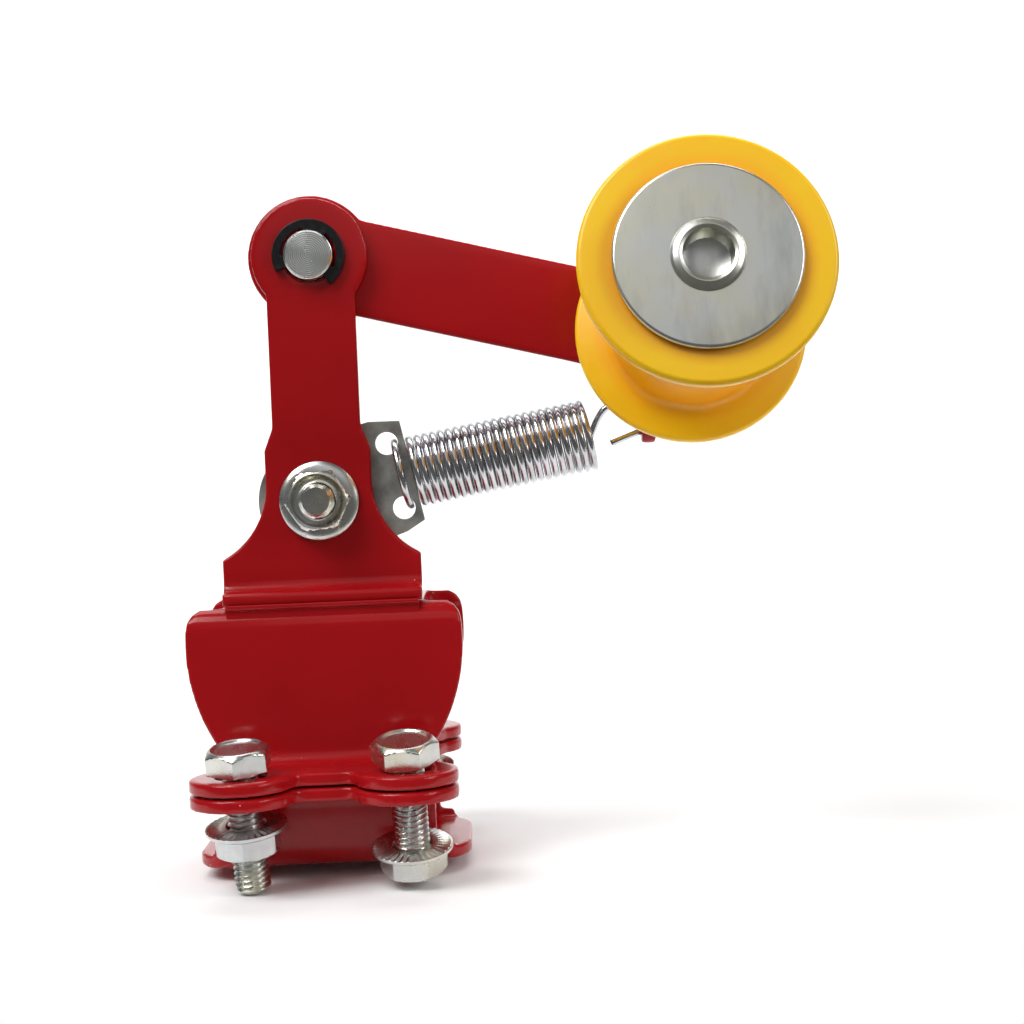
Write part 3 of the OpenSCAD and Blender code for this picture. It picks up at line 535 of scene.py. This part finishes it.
def yellow_nylon(settings):
    """Turned yellow nylon: painted shade that turns the core between the flanges deeper orange, light that
    soaks in, faint turning marks.
    """
    material, tree, shader = new_material("yellow nylon")
    space = object_space(tree, AXLE)
    # Painted shade: deeper orange towards the core, in the recess between the flanges
    out = remap(tree, from_axis(tree, space), 0.0175, 0.0225, 0, 1)
    colour = mix(tree, out, settings.shade_and_cloud_orange, settings.rim_yellow)
    # Random cloudy tone, mixed towards the same painted shade orange
    cloudy = mix(tree, remap(tree, noise(tree, space, 70, 3), 0.35, 0.7, 0, 0.22), colour,
                 settings.shade_and_cloud_orange)
    tree.links.new(cloudy, shader.inputs["Base Color"])
    roughen(tree, shader, noise(tree, space, 240, 3), 0.3, 0.7, 0.3, 0.42)
    shader.inputs["Subsurface Weight"].default_value = 0.18
    shader.inputs["Subsurface Radius"].default_value = (1.0, 0.42, 0.06)
    shader.inputs["Subsurface Scale"].default_value = 0.003
    shader.inputs["IOR"].default_value = 1.53
    bump(tree, shader, [(noise(tree, space, 1800, 2, 0.5, (0.08, 0.08, 1.0)), 0.1, 0.00004),
                        (noise(tree, space, 260, 2), 0.06, 0.0002)])
    return material


def studio_white(name, tone):
    """Matt pale surface for the floor and backdrop."""
    material, tree, shader = new_material(name)
    space = object_space(tree)
    shade = mix(tree, remap(tree, noise(tree, space, 6, 2), 0.3, 0.7, 0, 1), (tone, tone, tone),
                (tone * 0.985, tone * 0.985, tone * 0.985))
    tree.links.new(shade, shader.inputs["Base Color"])
    shader.inputs["Roughness"].default_value = 0.9
    return material


def shared(name, build):
    """The material of a name, built when it is first asked for."""
    return bpy.data.materials.get(name) or build()


def enamel():
    """Paint of the sheets and the weld."""
    return shared("red enamel", lambda: red_enamel(bpy.context.scene.tensioner_finish))


def zinc():
    """Plating of the fasteners."""
    return shared("zinc plate", lambda: zinc_plate("zinc plate", bpy.context.scene.tensioner_finish))


def cover_zinc():
    """Plating of the covers and the axle, with stronger smears."""
    return shared("pressed zinc cover", lambda: zinc_plate(
        "pressed zinc cover", bpy.context.scene.tensioner_finish, AXLE, 0.0, 0.85, (0.24, 0.42)))


def turned_zinc():
    """Plating of the pivot pin, with turning rings round its end."""
    pin = frame_on((0, -1, 0), PIVOT, (1, 0, 0))
    return shared("turned zinc", lambda: zinc_plate(
        "turned zinc", bpy.context.scene.tensioner_finish, pin, 0.00045, 0.3, (0.22, 0.34)))


# Settings that a user would change

class TensionerSizes(PropertyGroup):
    """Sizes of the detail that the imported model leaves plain."""
    thread_pitch: FloatProperty(name="Thread pitch", description="Pitch of the M8 threads in millimetres",
                                default=1.25, min=0.75, max=1.5)
    thread_depth: FloatProperty(name="Thread depth", description="Depth of the M8 threads in millimetres",
                                default=0.68, min=0.3, max=0.8)
    wire_radius: FloatProperty(name="Wire radius", description="Radius of the plated wire in millimetres",
                               default=0.83, min=0.7, max=0.86)
    wire_sides: IntProperty(name="Wire sides", description="Sides of the spring wire's section",
                            default=14, min=8, max=24)
    serrations: IntProperty(name="Serrations", description="Teeth on a nut's bearing face",
                            default=36, min=12, max=60)


class TensionerFinish(PropertyGroup):
    """Colours of the finishes and of the roller core's painted shade, as linear values."""
    paint_red: FloatVectorProperty(name="Paint", description="Colour of the enamel", subtype="COLOR",
                                   default=(0.42, 0.006, 0.009), min=0, max=1)
    zinc_silver: FloatVectorProperty(name="Zinc", description="Colour of the plating", subtype="COLOR",
                                     default=(0.62, 0.63, 0.6), min=0, max=1)
    sheet_grey: FloatVectorProperty(name="Plain sheet", description="Colour of the spring plate",
                                    subtype="COLOR", default=(0.4, 0.4, 0.37), min=0, max=1)
    wire_steel: FloatVectorProperty(name="Wire", description="Colour of the spring wire", subtype="COLOR",
                                    default=(0.66, 0.67, 0.69), min=0, max=1)
    clip_black: FloatVectorProperty(name="Clip", description="Colour of the clip", subtype="COLOR",
                                    default=(0.012, 0.012, 0.014), min=0, max=1)
    rim_yellow: FloatVectorProperty(name="Roller rim", description="Colour of the roller's flanges",
                                    subtype="COLOR", default=(1.0, 0.6, 0.0), min=0, max=1)
    # Painted shade of the roller's core between the flanges, also the tint of its random clouds
    shade_and_cloud_orange: FloatVectorProperty(name="Roller core", description="Colour of the roller's core",
                                     subtype="COLOR", default=(1.0, 0.36, 0.0), min=0, max=1)


# Sizes of the fasteners in millimetres and degrees

HEX_AF = 13.0
HEAD_H = 5.3
BOLT_R = 3.95
BOLT_LEN = 27.5
PLATE_BOLT_LEN = 16.0
NUT_H = 6.5
NUT_FLANGE_R = 8.95
NUT_RIM_T = 1.2
DISH_R = 5.5
DISH_DEPTH = 0.6
HEAD_GAP = 0.05
SHEET_T = 3.0
FLANGE_GAP = 0.35
EAR_X = 18.0
ROW_Y = 34.5
CLAMP_MID_Z = EARS_Z - FLANGE_GAP / 2
CLAMP_HALF = SHEET_T + FLANGE_GAP / 2
# Each station: place across, row, lean, side lean, drop of the nut below the ears, turn of the hexagons
STATIONS = (
    (-EAR_X, -ROW_Y, 10.0, -3.0, 4.5, 28.0),
    (EAR_X, -ROW_Y, 13.5, -1.5, 11.0, -4.0),
    (-EAR_X, ROW_Y, 9.0, 1.5, 3.7, 12.0),
    (EAR_X, ROW_Y, 9.0, -1.0, 3.7, 21.0),
)


def head_seat(lean, side):
    """Height of a leaning head's seat over the flanges' middle, its low corner just clear of the ear."""
    tilt = math.acos(math.cos(math.radians(lean)) * math.cos(math.radians(side)))
    return (CLAMP_HALF + HEAD_GAP + HEX_AF / math.sqrt(3) * math.sin(tilt)) / math.cos(tilt)


def turned_about(x_deg=0.0, y_deg=0.0, z_deg=0.0):
    """Rotation about X, then Y, then Z, as a 4 x 4 matrix."""
    m = np.eye(4)
    for k, angle in enumerate((x_deg, y_deg, z_deg)):
        c, s = math.cos(math.radians(angle)), math.sin(math.radians(angle))
        one = np.eye(4)
        i, j = (k + 1) % 3, (k + 2) % 3
        one[i, i], one[i, j], one[j, i], one[j, j] = c, -s, s, c
        m = one @ m
    return m


def moved(x=0.0, y=0.0, z=0.0):
    """Shift in millimetres as a 4 x 4 matrix in metres."""
    m = np.eye(4)
    m[:3, 3] = np.array([x, y, z]) * MM
    return m


def hex_bolt_parts(length, sizes):
    """Head and threaded shank of a hexagon bolt, with the head's seat at zero.

    The head is a hexagon cut down to circles: a washer face below, a cone above that widens by 1.3 of
    its drop from the top, and a dish in the top."""
    seat_r = HEX_AF / 2 - 0.35
    top_r = HEX_AF / 2 - 0.55
    top = [(top_r + 1.3 * drop, HEAD_H - drop) for drop in (1.25, 1.0, 0.75, 0.5, 0.25)]
    dish = [(DISH_R + out, HEAD_H - DISH_DEPTH * low) for out, low in (
        (0.15, 0.0), (0, 0.08), (-0.15, 0.3), (-0.4, 0.75), (-0.6, 0.93), (-0.9, 1.0))]
    head = capped_hex(
        [(0, 0), (seat_r, 0), (seat_r, 0.35), (9, 0.4), (9, 0.6), (9, HEAD_H - 1.4)] + top
        + [(top_r + 0.02, HEAD_H - 0.03)] + dish + [(0, HEAD_H - DISH_DEPTH)], HEX_AF)
    shank = thread_surface(BOLT_R, length, sizes.thread_pitch, sizes.thread_depth, 0.9)
    return head, shank


def flange_nut_surface(sizes, cols=144):
    """Flange nut with its serrated bearing face at zero and its hexagon below.

    Rows (limit, z) are carried round the axis, those of the hexagon are cut down to its sides, and a cosine
    wave with one period for each tooth lowers the bearing face."""
    hexes = HEX_AF / 2 - 0.3
    bore = BOLT_R + 0.05
    hex_rows = (11, 16)
    rows = [(bore, -0.5), (bore + 0.5, 0), (5.6, 0), (5.8, 0), (NUT_FLANGE_R - 0.5, 0),
            (NUT_FLANGE_R - 0.2, -0.1), (NUT_FLANGE_R, -0.35), (NUT_FLANGE_R, -NUT_RIM_T + 0.2),
            (NUT_FLANGE_R - 0.2, -NUT_RIM_T), (8.3, -NUT_RIM_T - 0.2), (7.8, -NUT_RIM_T - 0.45),
            (7.7, -NUT_RIM_T - 0.55), (7.7, -NUT_H + 1.0), (hexes + 1.73 * 0.55, -NUT_H + 0.55),
            (hexes + 1.73 * 0.3, -NUT_H + 0.3), (hexes + 0.1, -NUT_H + 0.06), (hexes - 0.15, -NUT_H),
            (hexes - 0.4, -NUT_H + 0.1), (hexes - 0.6, -NUT_H + 0.5), (hexes - 1.1, -NUT_H + 0.85),
            (bore + 0.7, -NUT_H + 0.85), (bore + 0.2, -NUT_H + 0.6), (bore, -NUT_H + 0.7)]
    a = np.arange(cols) * TURN / cols
    limit = np.array([row[0] for row in rows])[:, None] + 0 * a
    z = np.array([row[1] for row in rows])[:, None] + 0 * a
    index = np.arange(len(rows))[:, None]
    is_hex = (index >= hex_rows[0]) & (index <= hex_rows[1])
    r = np.where(is_hex, np.minimum(limit, hexagon_r(a, HEX_AF)), limit)
    tooth = 0.5 - 0.5 * np.cos(a * sizes.serrations)
    z[3] -= 0.05 * tooth
    z[4] -= 0.42 * tooth
    z[5] -= 0.36 * tooth
    return np.stack([r * np.cos(a), r * np.sin(a), z], -1)


def joined(name, pieces, node):
    """Joins several pieces into one that stands for a node."""
    bm = bmesh.new()
    material = pieces[0].data.materials[0]
    for piece in pieces:
        bm.from_mesh(piece.data)
        mesh = piece.data
        bpy.data.objects.remove(piece)
        bpy.data.meshes.remove(mesh)
    mesh = bpy.data.meshes.new(name)
    bm.to_mesh(mesh)
    bm.free()
    mesh.materials.append(material)
    whole = bpy.data.objects.new(name, mesh)
    bpy.context.scene.collection.objects.link(whole)
    return stand_for(whole, node)


# Spring route in millimetres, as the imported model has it

COIL_R = 7.6
WIRE_R = 0.75
COIL_PITCH = 1.8
COIL_TURNS = 22
SPRING_SLOPE = math.radians(9.5)
COIL_START = np.array([22.8, PLATE_FRONT_Y + 1.0, PIVOT[2] / MM - 49.5])
END_TURN_STEP = 3.5
COIL_END = COIL_TURNS + 1 + 80 / 360
LUG_X = 75.65
LUG_Y = -12.5
LUG_BACK = LUG_Y + 3.5
LUG_HOLE_Z = PIVOT[2] / MM - 45.4 + 3.6
LUG_T = 3.3
HOOK_LEAD = 9.4
HOOK_RISE = 4.8
HOOK_TAIL = 9.5


def coil_points(turns):
    """Helix: turns are counted from the coil's lowest point towards the back.

    The first turn lies a step before the others, on the far side of the plate."""
    a = turns * TURN
    along = np.where(turns < 0, COIL_PITCH * turns - END_TURN_STEP, np.where(
        turns < 0.5, -END_TURN_STEP + (2 * END_TURN_STEP - COIL_PITCH) * turns, COIL_PITCH * (turns - 1)))
    ahead = np.array([math.cos(SPRING_SLOPE), 0, math.sin(SPRING_SLOPE)])
    up = np.array([-math.sin(SPRING_SLOPE), 0, math.cos(SPRING_SLOPE)])
    back = np.array([0, 1, 0])
    return (COIL_START + along[:, None] * ahead - COIL_R * np.cos(a)[:, None] * up
            + COIL_R * np.sin(a)[:, None] * back)


def curve_through(points, steps):
    """Smooth curve through points from the second to the last but one."""
    p = np.asarray(points)
    t = np.linspace(0, 1, steps, endpoint=False)[:, None]
    parts = []
    for a, b, c, d in zip(p[:-3], p[1:-2], p[2:-1], p[3:]):
        parts.append(0.5 * (2 * b + (c - a) * t + (2 * a - 5 * b + 4 * c - d) * t ** 2
                            + (3 * b - a - 3 * c + d) * t ** 3))
    return np.concatenate(parts + [p[-2:-1]])


def spring_route(per_turn=40):
    """Threaded end turn, close coil and hook as one line of points."""
    turns = np.arange(-200 / 360, COIL_END - 5 / 360, 1 / per_turn)
    hook = [
        coil_points(np.array([COIL_END - 20 / 360]))[0],
        coil_points(np.array([COIL_END]))[0],
        (LUG_X - HOOK_LEAD, LUG_BACK + 3 * WIRE_R, LUG_HOLE_Z + HOOK_RISE),
        (LUG_X - LUG_T, LUG_BACK + 2 * WIRE_R, LUG_HOLE_Z + HOOK_RISE + 0.8 * WIRE_R),
        (LUG_X + 3.2 * WIRE_R, LUG_BACK + 1.7 * WIRE_R, LUG_HOLE_Z + HOOK_RISE - WIRE_R),
        (LUG_X + 5.6 * WIRE_R, LUG_BACK - 0.8 * WIRE_R, LUG_HOLE_Z + 2.7 * WIRE_R),
        (LUG_X + 4 * WIRE_R, LUG_Y + 0.7 * WIRE_R, LUG_HOLE_Z),
        (LUG_X, LUG_Y, LUG_HOLE_Z - 0.3 * WIRE_R),
        (LUG_X - 4.3 * WIRE_R, LUG_Y - 0.4 * WIRE_R, LUG_HOLE_Z - 1.6 * WIRE_R),
        (LUG_X - 0.9 * HOOK_TAIL, LUG_Y - 1.3 * WIRE_R, LUG_HOLE_Z - 4.2 * WIRE_R),
        (LUG_X - HOOK_TAIL, LUG_Y - 1.5 * WIRE_R, LUG_HOLE_Z - 4.7 * WIRE_R),
    ]
    return np.concatenate([coil_points(turns), curve_through(hook, 10)])


# Operators

class PaintedSheets(Operator):
    """Red sheet pieces under thick glossy paint that rounds their edges"""
    bl_idname = "tensioner.painted_sheets"
    bl_label = "Painted Sheets"

    def execute(self, context):
        for node in ("upright_plate", "upper_saddle", "lower_saddle", "arm_plate"):
            stand_for(coated(node, node + "_painted", enamel(), 0.0005), node)
        return {"FINISHED"}


class WeldSeam(Operator):
    """Painted weld seam under the upright's foot"""
    bl_idname = "tensioner.weld_seam"
    bl_label = "Weld Seam"

    def execute(self, context):
        piece = softened("foot_weld", "foot_weld_painted", enamel(), 0.0004)
        stand_for(piece, "foot_weld")
        return {"FINISHED"}


class ClampFasteners(Operator):
    """Four loose threaded bolts and their serrated flange nuts"""
    bl_idname = "tensioner.clamp_fasteners"
    bl_label = "Clamp Fasteners"

    def execute(self, context):
        sizes = context.scene.tensioner_sizes
        bolts, nuts = [], []
        for x, y, lean, side, drop, turn in STATIONS:
            axis = moved(x, y, CLAMP_MID_Z) @ turned_about(lean, side) @ turned_about(0, 0, turn)
            for surface in hex_bolt_parts(BOLT_LEN, sizes):
                seat = axis @ moved(z=head_seat(lean, side))
                bolts.append(grid_piece("bolt", surface, seat, zinc()))
            place = axis @ moved(z=-CLAMP_HALF - drop)
            nuts.append(grid_piece("nut", flange_nut_surface(sizes), place, zinc(), True))
        joined("clamp_bolts_threaded", bolts, "clamp_bolts")
        joined("clamp_nuts_serrated", nuts, "clamp_nuts")
        return {"FINISHED"}


class PlateFasteners(Operator):
    """Bolt, washer and nut that hold the spring plate"""
    bl_idname = "tensioner.plate_fasteners"
    bl_label = "Plate Fasteners"

    def execute(self, context):
        sizes = context.scene.tensioner_sizes
        low, high = (np.array(v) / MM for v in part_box("plate_nut"))
        centre_z = (low[2] + high[2]) / 2
        seat_y = np.array(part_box("plate_washer")[1])[1] / MM
        bolt_place = moved(0, seat_y, centre_z) @ turned_about(-90) @ turned_about(0, 0, 12)
        bolt = [grid_piece("bolt", surface, bolt_place, zinc()) for surface in
                hex_bolt_parts(PLATE_BOLT_LEN, sizes)]
        joined("plate_bolt_threaded", bolt, "plate_bolt")
        nut_place = moved(0, high[1], centre_z) @ turned_about(-90) @ turned_about(0, 0, -4)
        nut = grid_piece("plate_nut_serrated", flange_nut_surface(sizes), nut_place, zinc(), True)
        stand_for(nut, "plate_nut")
        washer = softened("plate_washer", "plate_washer_edged", zinc(), 0.0003)
        stand_for(washer, "plate_washer")
        return {"FINISHED"}


class SpringPlate(Operator):
    """Dull sheet plate with the spring's two holes"""
    bl_idname = "tensioner.spring_plate"
    bl_label = "Spring Plate"

    def execute(self, context):
        material = shared("dull steel sheet", lambda: dull_sheet(context.scene.tensioner_finish))
        piece = softened("spring_plate", "spring_plate_edged", material, 0.0003)
        stand_for(piece, "spring_plate")
        return {"FINISHED"}


class TensionSpring(Operator):
    """Close wound spring that runs from the plate to the arm's lug"""
    bl_idname = "tensioner.spring"
    bl_label = "Tension Spring"

    def execute(self, context):
        material = shared("drawn spring wire", lambda: drawn_wire(context.scene.tensioner_finish))
        sizes = context.scene.tensioner_sizes
        points = tube(spring_route(), sizes.wire_radius, sizes.wire_sides)
        piece = grid_piece("tension_spring", points, np.eye(4), material, smooth_angle=50)
        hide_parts("spring")
        start = COIL_START * MM
        end = coil_points(np.array([COIL_END]))[0] * MM
        end[1] = start[1]
        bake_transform(piece)
        return {"FINISHED"}


# Pin in millimetres

PIN_R = 5.5
PIN_HEAD_R = 7.5
PIN_HEAD_T = 2.5
GROOVE_R = 4.3
GROOVE_GAP = 0.05


class PivotPin(Operator):
    """Turned pivot pin with its black retaining clip"""
    bl_idname = "tensioner.pivot_pin"
    bl_label = "Pivot Pin"

    def execute(self, context):
        axis = frame_on((0, -1, 0), (PIVOT[0], PIN_HIGH[1], PIVOT[2]), (1, 0, 0))
        length = (PIN_HIGH[1] - PIN_LOW[1]) / MM
        clip = np.array(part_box("pivot_clip")) / MM
        groove_low = PIN_HIGH[1] / MM - clip[1][1] - GROOVE_GAP
        groove_high = PIN_HIGH[1] / MM - clip[0][1] + GROOVE_GAP
        profile = rounded([
            (0, 0, 0), (PIN_HEAD_R, 0, 0.6), (PIN_HEAD_R, PIN_HEAD_T, 0.2), (PIN_R, PIN_HEAD_T, 0),
            (PIN_R, groove_low, 0.05), (GROOVE_R, groove_low, 0), (GROOVE_R, groove_high, 0),
            (PIN_R, groove_high, 0.05), (PIN_R, length - 0.5, 0.1), (PIN_R - 0.45, length, 0.12),
            (0, length, 0)])
        pin = grid_piece("pivot_pin_turned", revolved(profile, 96), axis, turned_zinc())
        stand_for(pin, "pivot_pin")
        black = shared("black oxide", lambda: black_oxide(context.scene.tensioner_finish))
        ring = coated("pivot_clip", "pivot_clip_edged", black, 0.00015)
        stand_for(ring, "pivot_clip")
        return {"FINISHED"}


# Axle stack in millimetres, from the arm's front face towards the viewer

COVER_T = 1.5
COVER_R = 19.1
SPACER_T = 3.2
BOSS_T = 0.5
BOSS_R = 8.6
COVER_GAP = 0.4
ROLLER_W = 53.0
ROLLER_R = 26.0
CORE_R = 18.3
BEARING_R = 16.0
BEARING_W = 10.0
LIP_R = 13.0
AXLE_R = 6.0
SPOOL_AT = SPACER_T + COVER_T + COVER_GAP
BEARING_SEAT = BEARING_W + BOSS_T - COVER_GAP
FRONT_COVER_AT = 2 * SPOOL_AT + ROLLER_W - SPACER_T
AXLE_END_AT = FRONT_COVER_AT + 1.3
AXLE_TAIL_AT = -12.0
FLARE_R = 7.6
FLANGE_EDGE = 3.0
FLANGE_ROOT = 4.6


class RollerSpool(Operator):
    """Yellow nylon spool, turned in one piece"""
    bl_idname = "tensioner.roller"
    bl_label = "Roller"

    def execute(self, context):
        material = shared("yellow nylon", lambda: yellow_nylon(context.scene.tensioner_finish))
        w = ROLLER_W
        half = [(ROLLER_R, 0, 1.1), (ROLLER_R, FLANGE_EDGE, 1.1), (CORE_R, FLANGE_ROOT, 2.8)]
        other = [(r, w - z, c) for r, z, c in reversed(half)]
        seat = [(BEARING_R, w, 0.3), (BEARING_R, w - BEARING_SEAT, 0), (LIP_R, w - BEARING_SEAT, 0.2),
                (LIP_R, BEARING_SEAT, 0.2), (BEARING_R, BEARING_SEAT, 0), (BEARING_R, 0, 0.3)]
        loop = [(20, 0, 0)] + half + other + seat + [(20, 0, 0)]
        profile = rounded(loop, 8)[:-1]
        piece = grid_piece("roller_spool_turned", revolved(profile, 192), AXLE @ moved(z=SPOOL_AT),
                           material, True)
        stand_for(piece, "roller_spool")
        return {"FINISHED"}


class AxleAndCovers(Operator):
    """Pressed covers, flared axle end, spacer, washer and nut"""
    bl_idname = "tensioner.axle"
    bl_label = "Axle and Covers"

    def execute(self, context):
        hole_r = AXLE_R + 0.03
        boss_at = COVER_T + BOSS_T
        cover = [(hole_r, 0, 0), (COVER_R, 0, 0.8), (COVER_R, COVER_T, 0.5), (BOSS_R + 0.4, COVER_T, 0.3),
                 (BOSS_R, boss_at, 0.2), (hole_r, boss_at, 0), (hole_r, 0, 0)]
        profile = rounded(cover)[:-1]
        flip = np.diag([1.0, -1.0, -1.0, 1.0])
        front = grid_piece("front_cover_pressed", revolved(profile, 160),
                           AXLE @ moved(z=FRONT_COVER_AT) @ flip, cover_zinc(), True)
        stand_for(front, "front_cover")
        rear = grid_piece("rear_cover_pressed", revolved(profile, 160), AXLE @ moved(z=SPACER_T),
                          cover_zinc(), True)
        stand_for(rear, "rear_cover")
        self.axle_bar()
        for node, width in (("axle_spacer", 0.0003), ("axle_washer", 0.0003), ("axle_nut", 0.0004)):
            stand_for(softened(node, node + "_edged", zinc(), width), node)
        return {"FINISHED"}

    def axle_bar(self):
        """Axle whose hollow end is flared over the front cover."""
        tail, seat, end = AXLE_TAIL_AT, FRONT_COVER_AT, AXLE_END_AT
        profile = rounded([
            (0, tail, 0), (AXLE_R - 0.8, tail, 0.2), (AXLE_R, tail + 0.8, 0.2), (AXLE_R, seat - 0.05, 0.05),
            (FLARE_R - 0.15, seat + 0.02, 0.1), (FLARE_R, seat + 0.25, 0.15),
            (FLARE_R - 0.6, seat + 0.75, 0.3), (5.9, end, 0.35), (5.1, end - 0.35, 0.25),
            (4.95, end - 6, 0.2), (0, end - 7.6, 0)])
        piece = grid_piece("axle_flared", revolved(profile, 192), AXLE, cover_zinc())
        stand_for(piece, "axle")


class HiddenSteel(Operator):
    """Bearing rings, balls and sleeve inside the roller"""
    bl_idname = "tensioner.hidden_steel"
    bl_label = "Bearings"

    def execute(self, context):
        bright = shared("bearing steel", polished_bearing)
        for node in ("front_inner_ring", "rear_inner_ring", "front_outer_ring", "rear_outer_ring",
                     "front_balls", "rear_balls"):
            dress(NODES[node], bright)
        dress(NODES["axle_sleeve"], zinc())
        return {"FINISHED"}


def dress(node, material):
    """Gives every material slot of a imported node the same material."""
    if not node.material_slots:
        node.data.materials.append(material)
    for slot in node.material_slots:
        slot.material = material


# Camera and studio

FOCAL_PX = 1800.0
PHOTO_PX = 1024.0
SENSOR_MM = 36.0
CAMERA_MM = (35.5, -425.5, 30.3)
# Where lines along Y meet in the photograph, and how far the object's X axis rises to the right
VANISHING_PX = (475.0, 476.0)
ROLL = math.radians(2.4)
# The world's strength in reflections, and where the camera sees it
WORLD_DIM = 0.12
WORLD_SEEN = 1.0
# The floor in metres: half its width, its front and back edges, the wall's height and the bend's radius
FLOOR = (3.0, -0.1, 1.3, 2.5, 0.5)
# Lights in metres and watts: name, place, target, size and power
LIGHTS = (
    ("key", (-0.5, -0.5, 0.85), (0.04, -0.02, 0.03), (0.7, 0.6), 10.5),
    ("fill", (0.85, -0.45, 0.45), (0.04, -0.02, 0.03), (0.35, 0.7), 4),
    ("top", (0.05, 0.3, 0.9), (0.04, -0.02, 0.03), (0.9, 0.5), 5),
    ("wall", (0.1, 0.55, 0.75), (0.1, 1.3, 0.3), (1.6, 0.4), 9),
)


def camera_matrix():
    """Camera axes from the vanishing point of Y and the roll of X."""
    right, down = (px - PHOTO_PX / 2 for px in VANISHING_PX)
    y_seen = unit((right / FOCAL_PX, -down / FOCAL_PX, -1))
    x_seen = np.array([math.cos(ROLL), math.sin(ROLL), 0])
    x_seen = unit(x_seen - np.dot(x_seen, y_seen) * y_seen)
    m = np.eye(4)
    m[:3, :3] = np.stack([x_seen, y_seen, np.cross(x_seen, y_seen)])
    m[:3, 3] = np.array(CAMERA_MM) * MM
    return m


def backdrop_grid(low_z, half_width, front, back, height, corner):
    """Floor, quarter bend and wall as one profile carried along X."""
    a = np.linspace(0, math.pi / 2, 13)
    y = np.concatenate([[front], back - corner + corner * np.sin(a), [back]])
    z = low_z + np.concatenate([[0], corner - corner * np.cos(a), [height]])
    x = np.linspace(-half_width, half_width, 9)
    yy, xx = np.meshgrid(y, x, indexing="ij")
    zz = np.repeat(z[:, None], len(x), 1)
    return np.stack([xx, yy, zz], -1)


def area_light(name, place, target, size, power):
    """Soft rectangular light aimed at a point, with its size in metres and its power in watts."""
    data = bpy.data.lights.new(name, "AREA")
    data.shape = "RECTANGLE"
    data.size, data.size_y = size
    data.energy = power
    lamp = bpy.data.objects.new(name, data)
    bpy.context.scene.collection.objects.link(lamp)
    matrix = frame_on(np.array(place) - np.array(target), place, (1, 0, 0.001))
    lamp.matrix_world = [list(row) for row in matrix.T]


def studio_world():
    """World that is dim for what the paint and the plating mirror, and white past the floor's edge."""
    world = bpy.data.worlds.new("studio world")
    world.use_nodes = True
    tree = world.node_tree
    background = tree.nodes["Background"]
    background.inputs[0].default_value = (1.0, 1.0, 1.0, 1)
    rays = node_in(tree, "ShaderNodeLightPath")
    strength = node_in(tree, "ShaderNodeMath", operation="MULTIPLY_ADD")
    strength.inputs[1].default_value = WORLD_SEEN - WORLD_DIM
    strength.inputs[2].default_value = WORLD_DIM
    tree.links.new(rays.outputs["Is Camera Ray"], strength.inputs[0])
    tree.links.new(strength.outputs[0], background.inputs[1])
    return world


class Studio(Operator):
    """Pale floor, soft lights and the camera at the photograph's angle"""
    bl_idname = "tensioner.studio"
    bl_label = "Studio"

    def execute(self, context):
        scene = context.scene
        data = bpy.data.cameras.new("camera")
        data.sensor_width = SENSOR_MM
        data.lens = SENSOR_MM * FOCAL_PX / PHOTO_PX
        data.clip_start, data.clip_end = 0.01, 20
        camera = bpy.data.objects.new("camera", data)
        scene.collection.objects.link(camera)
        camera.matrix_world = [list(row) for row in camera_matrix().T]
        scene.camera = camera
        grid = backdrop_grid(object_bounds()[0][2] - 0.0002, *FLOOR)
        rows, cols = grid.shape[:2]
        floor = mesh_object("floor", grid.reshape(-1, 3), grid_faces(rows, cols, False, False),
                            studio_white("studio white", 0.92))
        floor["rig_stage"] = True
        for light in LIGHTS:
            area_light(*light)
        # A dim card where the roller's cover mirrors the camera
        hub = np.array(JOINTS["roller_spin"]["pos_m"])
        facing = unit(np.array(JOINTS["roller_spin"]["axis"]))
        view = unit(np.array(camera.matrix_world.translation) - hub)
        mirrored = facing * (2 * facing.dot(view)) - view
        area_light("card", hub + mirrored * 0.6, hub, (0.4, 0.4), 0.27)
        scene.world = studio_world()
        # The photograph's plain colours, without a film curve
        scene.view_settings.view_transform = "Standard"
        return {"FINISHED"}


class TensionerPanel(Panel):
    """Sidebar panel with the tensioner's settings and steps"""
    bl_idname = "VIEW3D_PT_tensioner"
    bl_label = "Chain Tensioner"
    bl_space_type = "VIEW_3D"
    bl_region_type = "UI"
    bl_category = "Tensioner"

    def draw(self, context):
        layout = self.layout
        for group in (context.scene.tensioner_sizes, context.scene.tensioner_finish):
            for name in group.bl_rna.properties.keys():
                if name not in ("rna_type", "name"):
                    layout.prop(group, name)
        for step in STEPS:
            layout.operator(step.bl_idname)


STEPS = (Studio, PaintedSheets, WeldSeam, ClampFasteners, PlateFasteners, SpringPlate, TensionSpring,
         PivotPin, RollerSpool, AxleAndCovers, HiddenSteel)
CLASSES = (TensionerSizes, TensionerFinish) + STEPS + (TensionerPanel,)


def register():
    """Registers the classes and hangs the settings on the scene."""
    for cls in CLASSES:
        bpy.utils.register_class(cls)
    bpy.types.Scene.tensioner_sizes = PointerProperty(type=TensionerSizes)
    bpy.types.Scene.tensioner_finish = PointerProperty(type=TensionerFinish)


def unregister():
    """Takes the settings and classes away again."""
    del bpy.types.Scene.tensioner_finish
    del bpy.types.Scene.tensioner_sizes
    for cls in reversed(CLASSES):
        bpy.utils.unregister_class(cls)


def main():
    """Builds the whole scene."""
    register()
    for step in STEPS:
        group, name = step.bl_idname.split(".")
        getattr(getattr(bpy.ops, group), name)()
    bpy.context.view_layer.update()


if __name__ == "__main__":
    main()
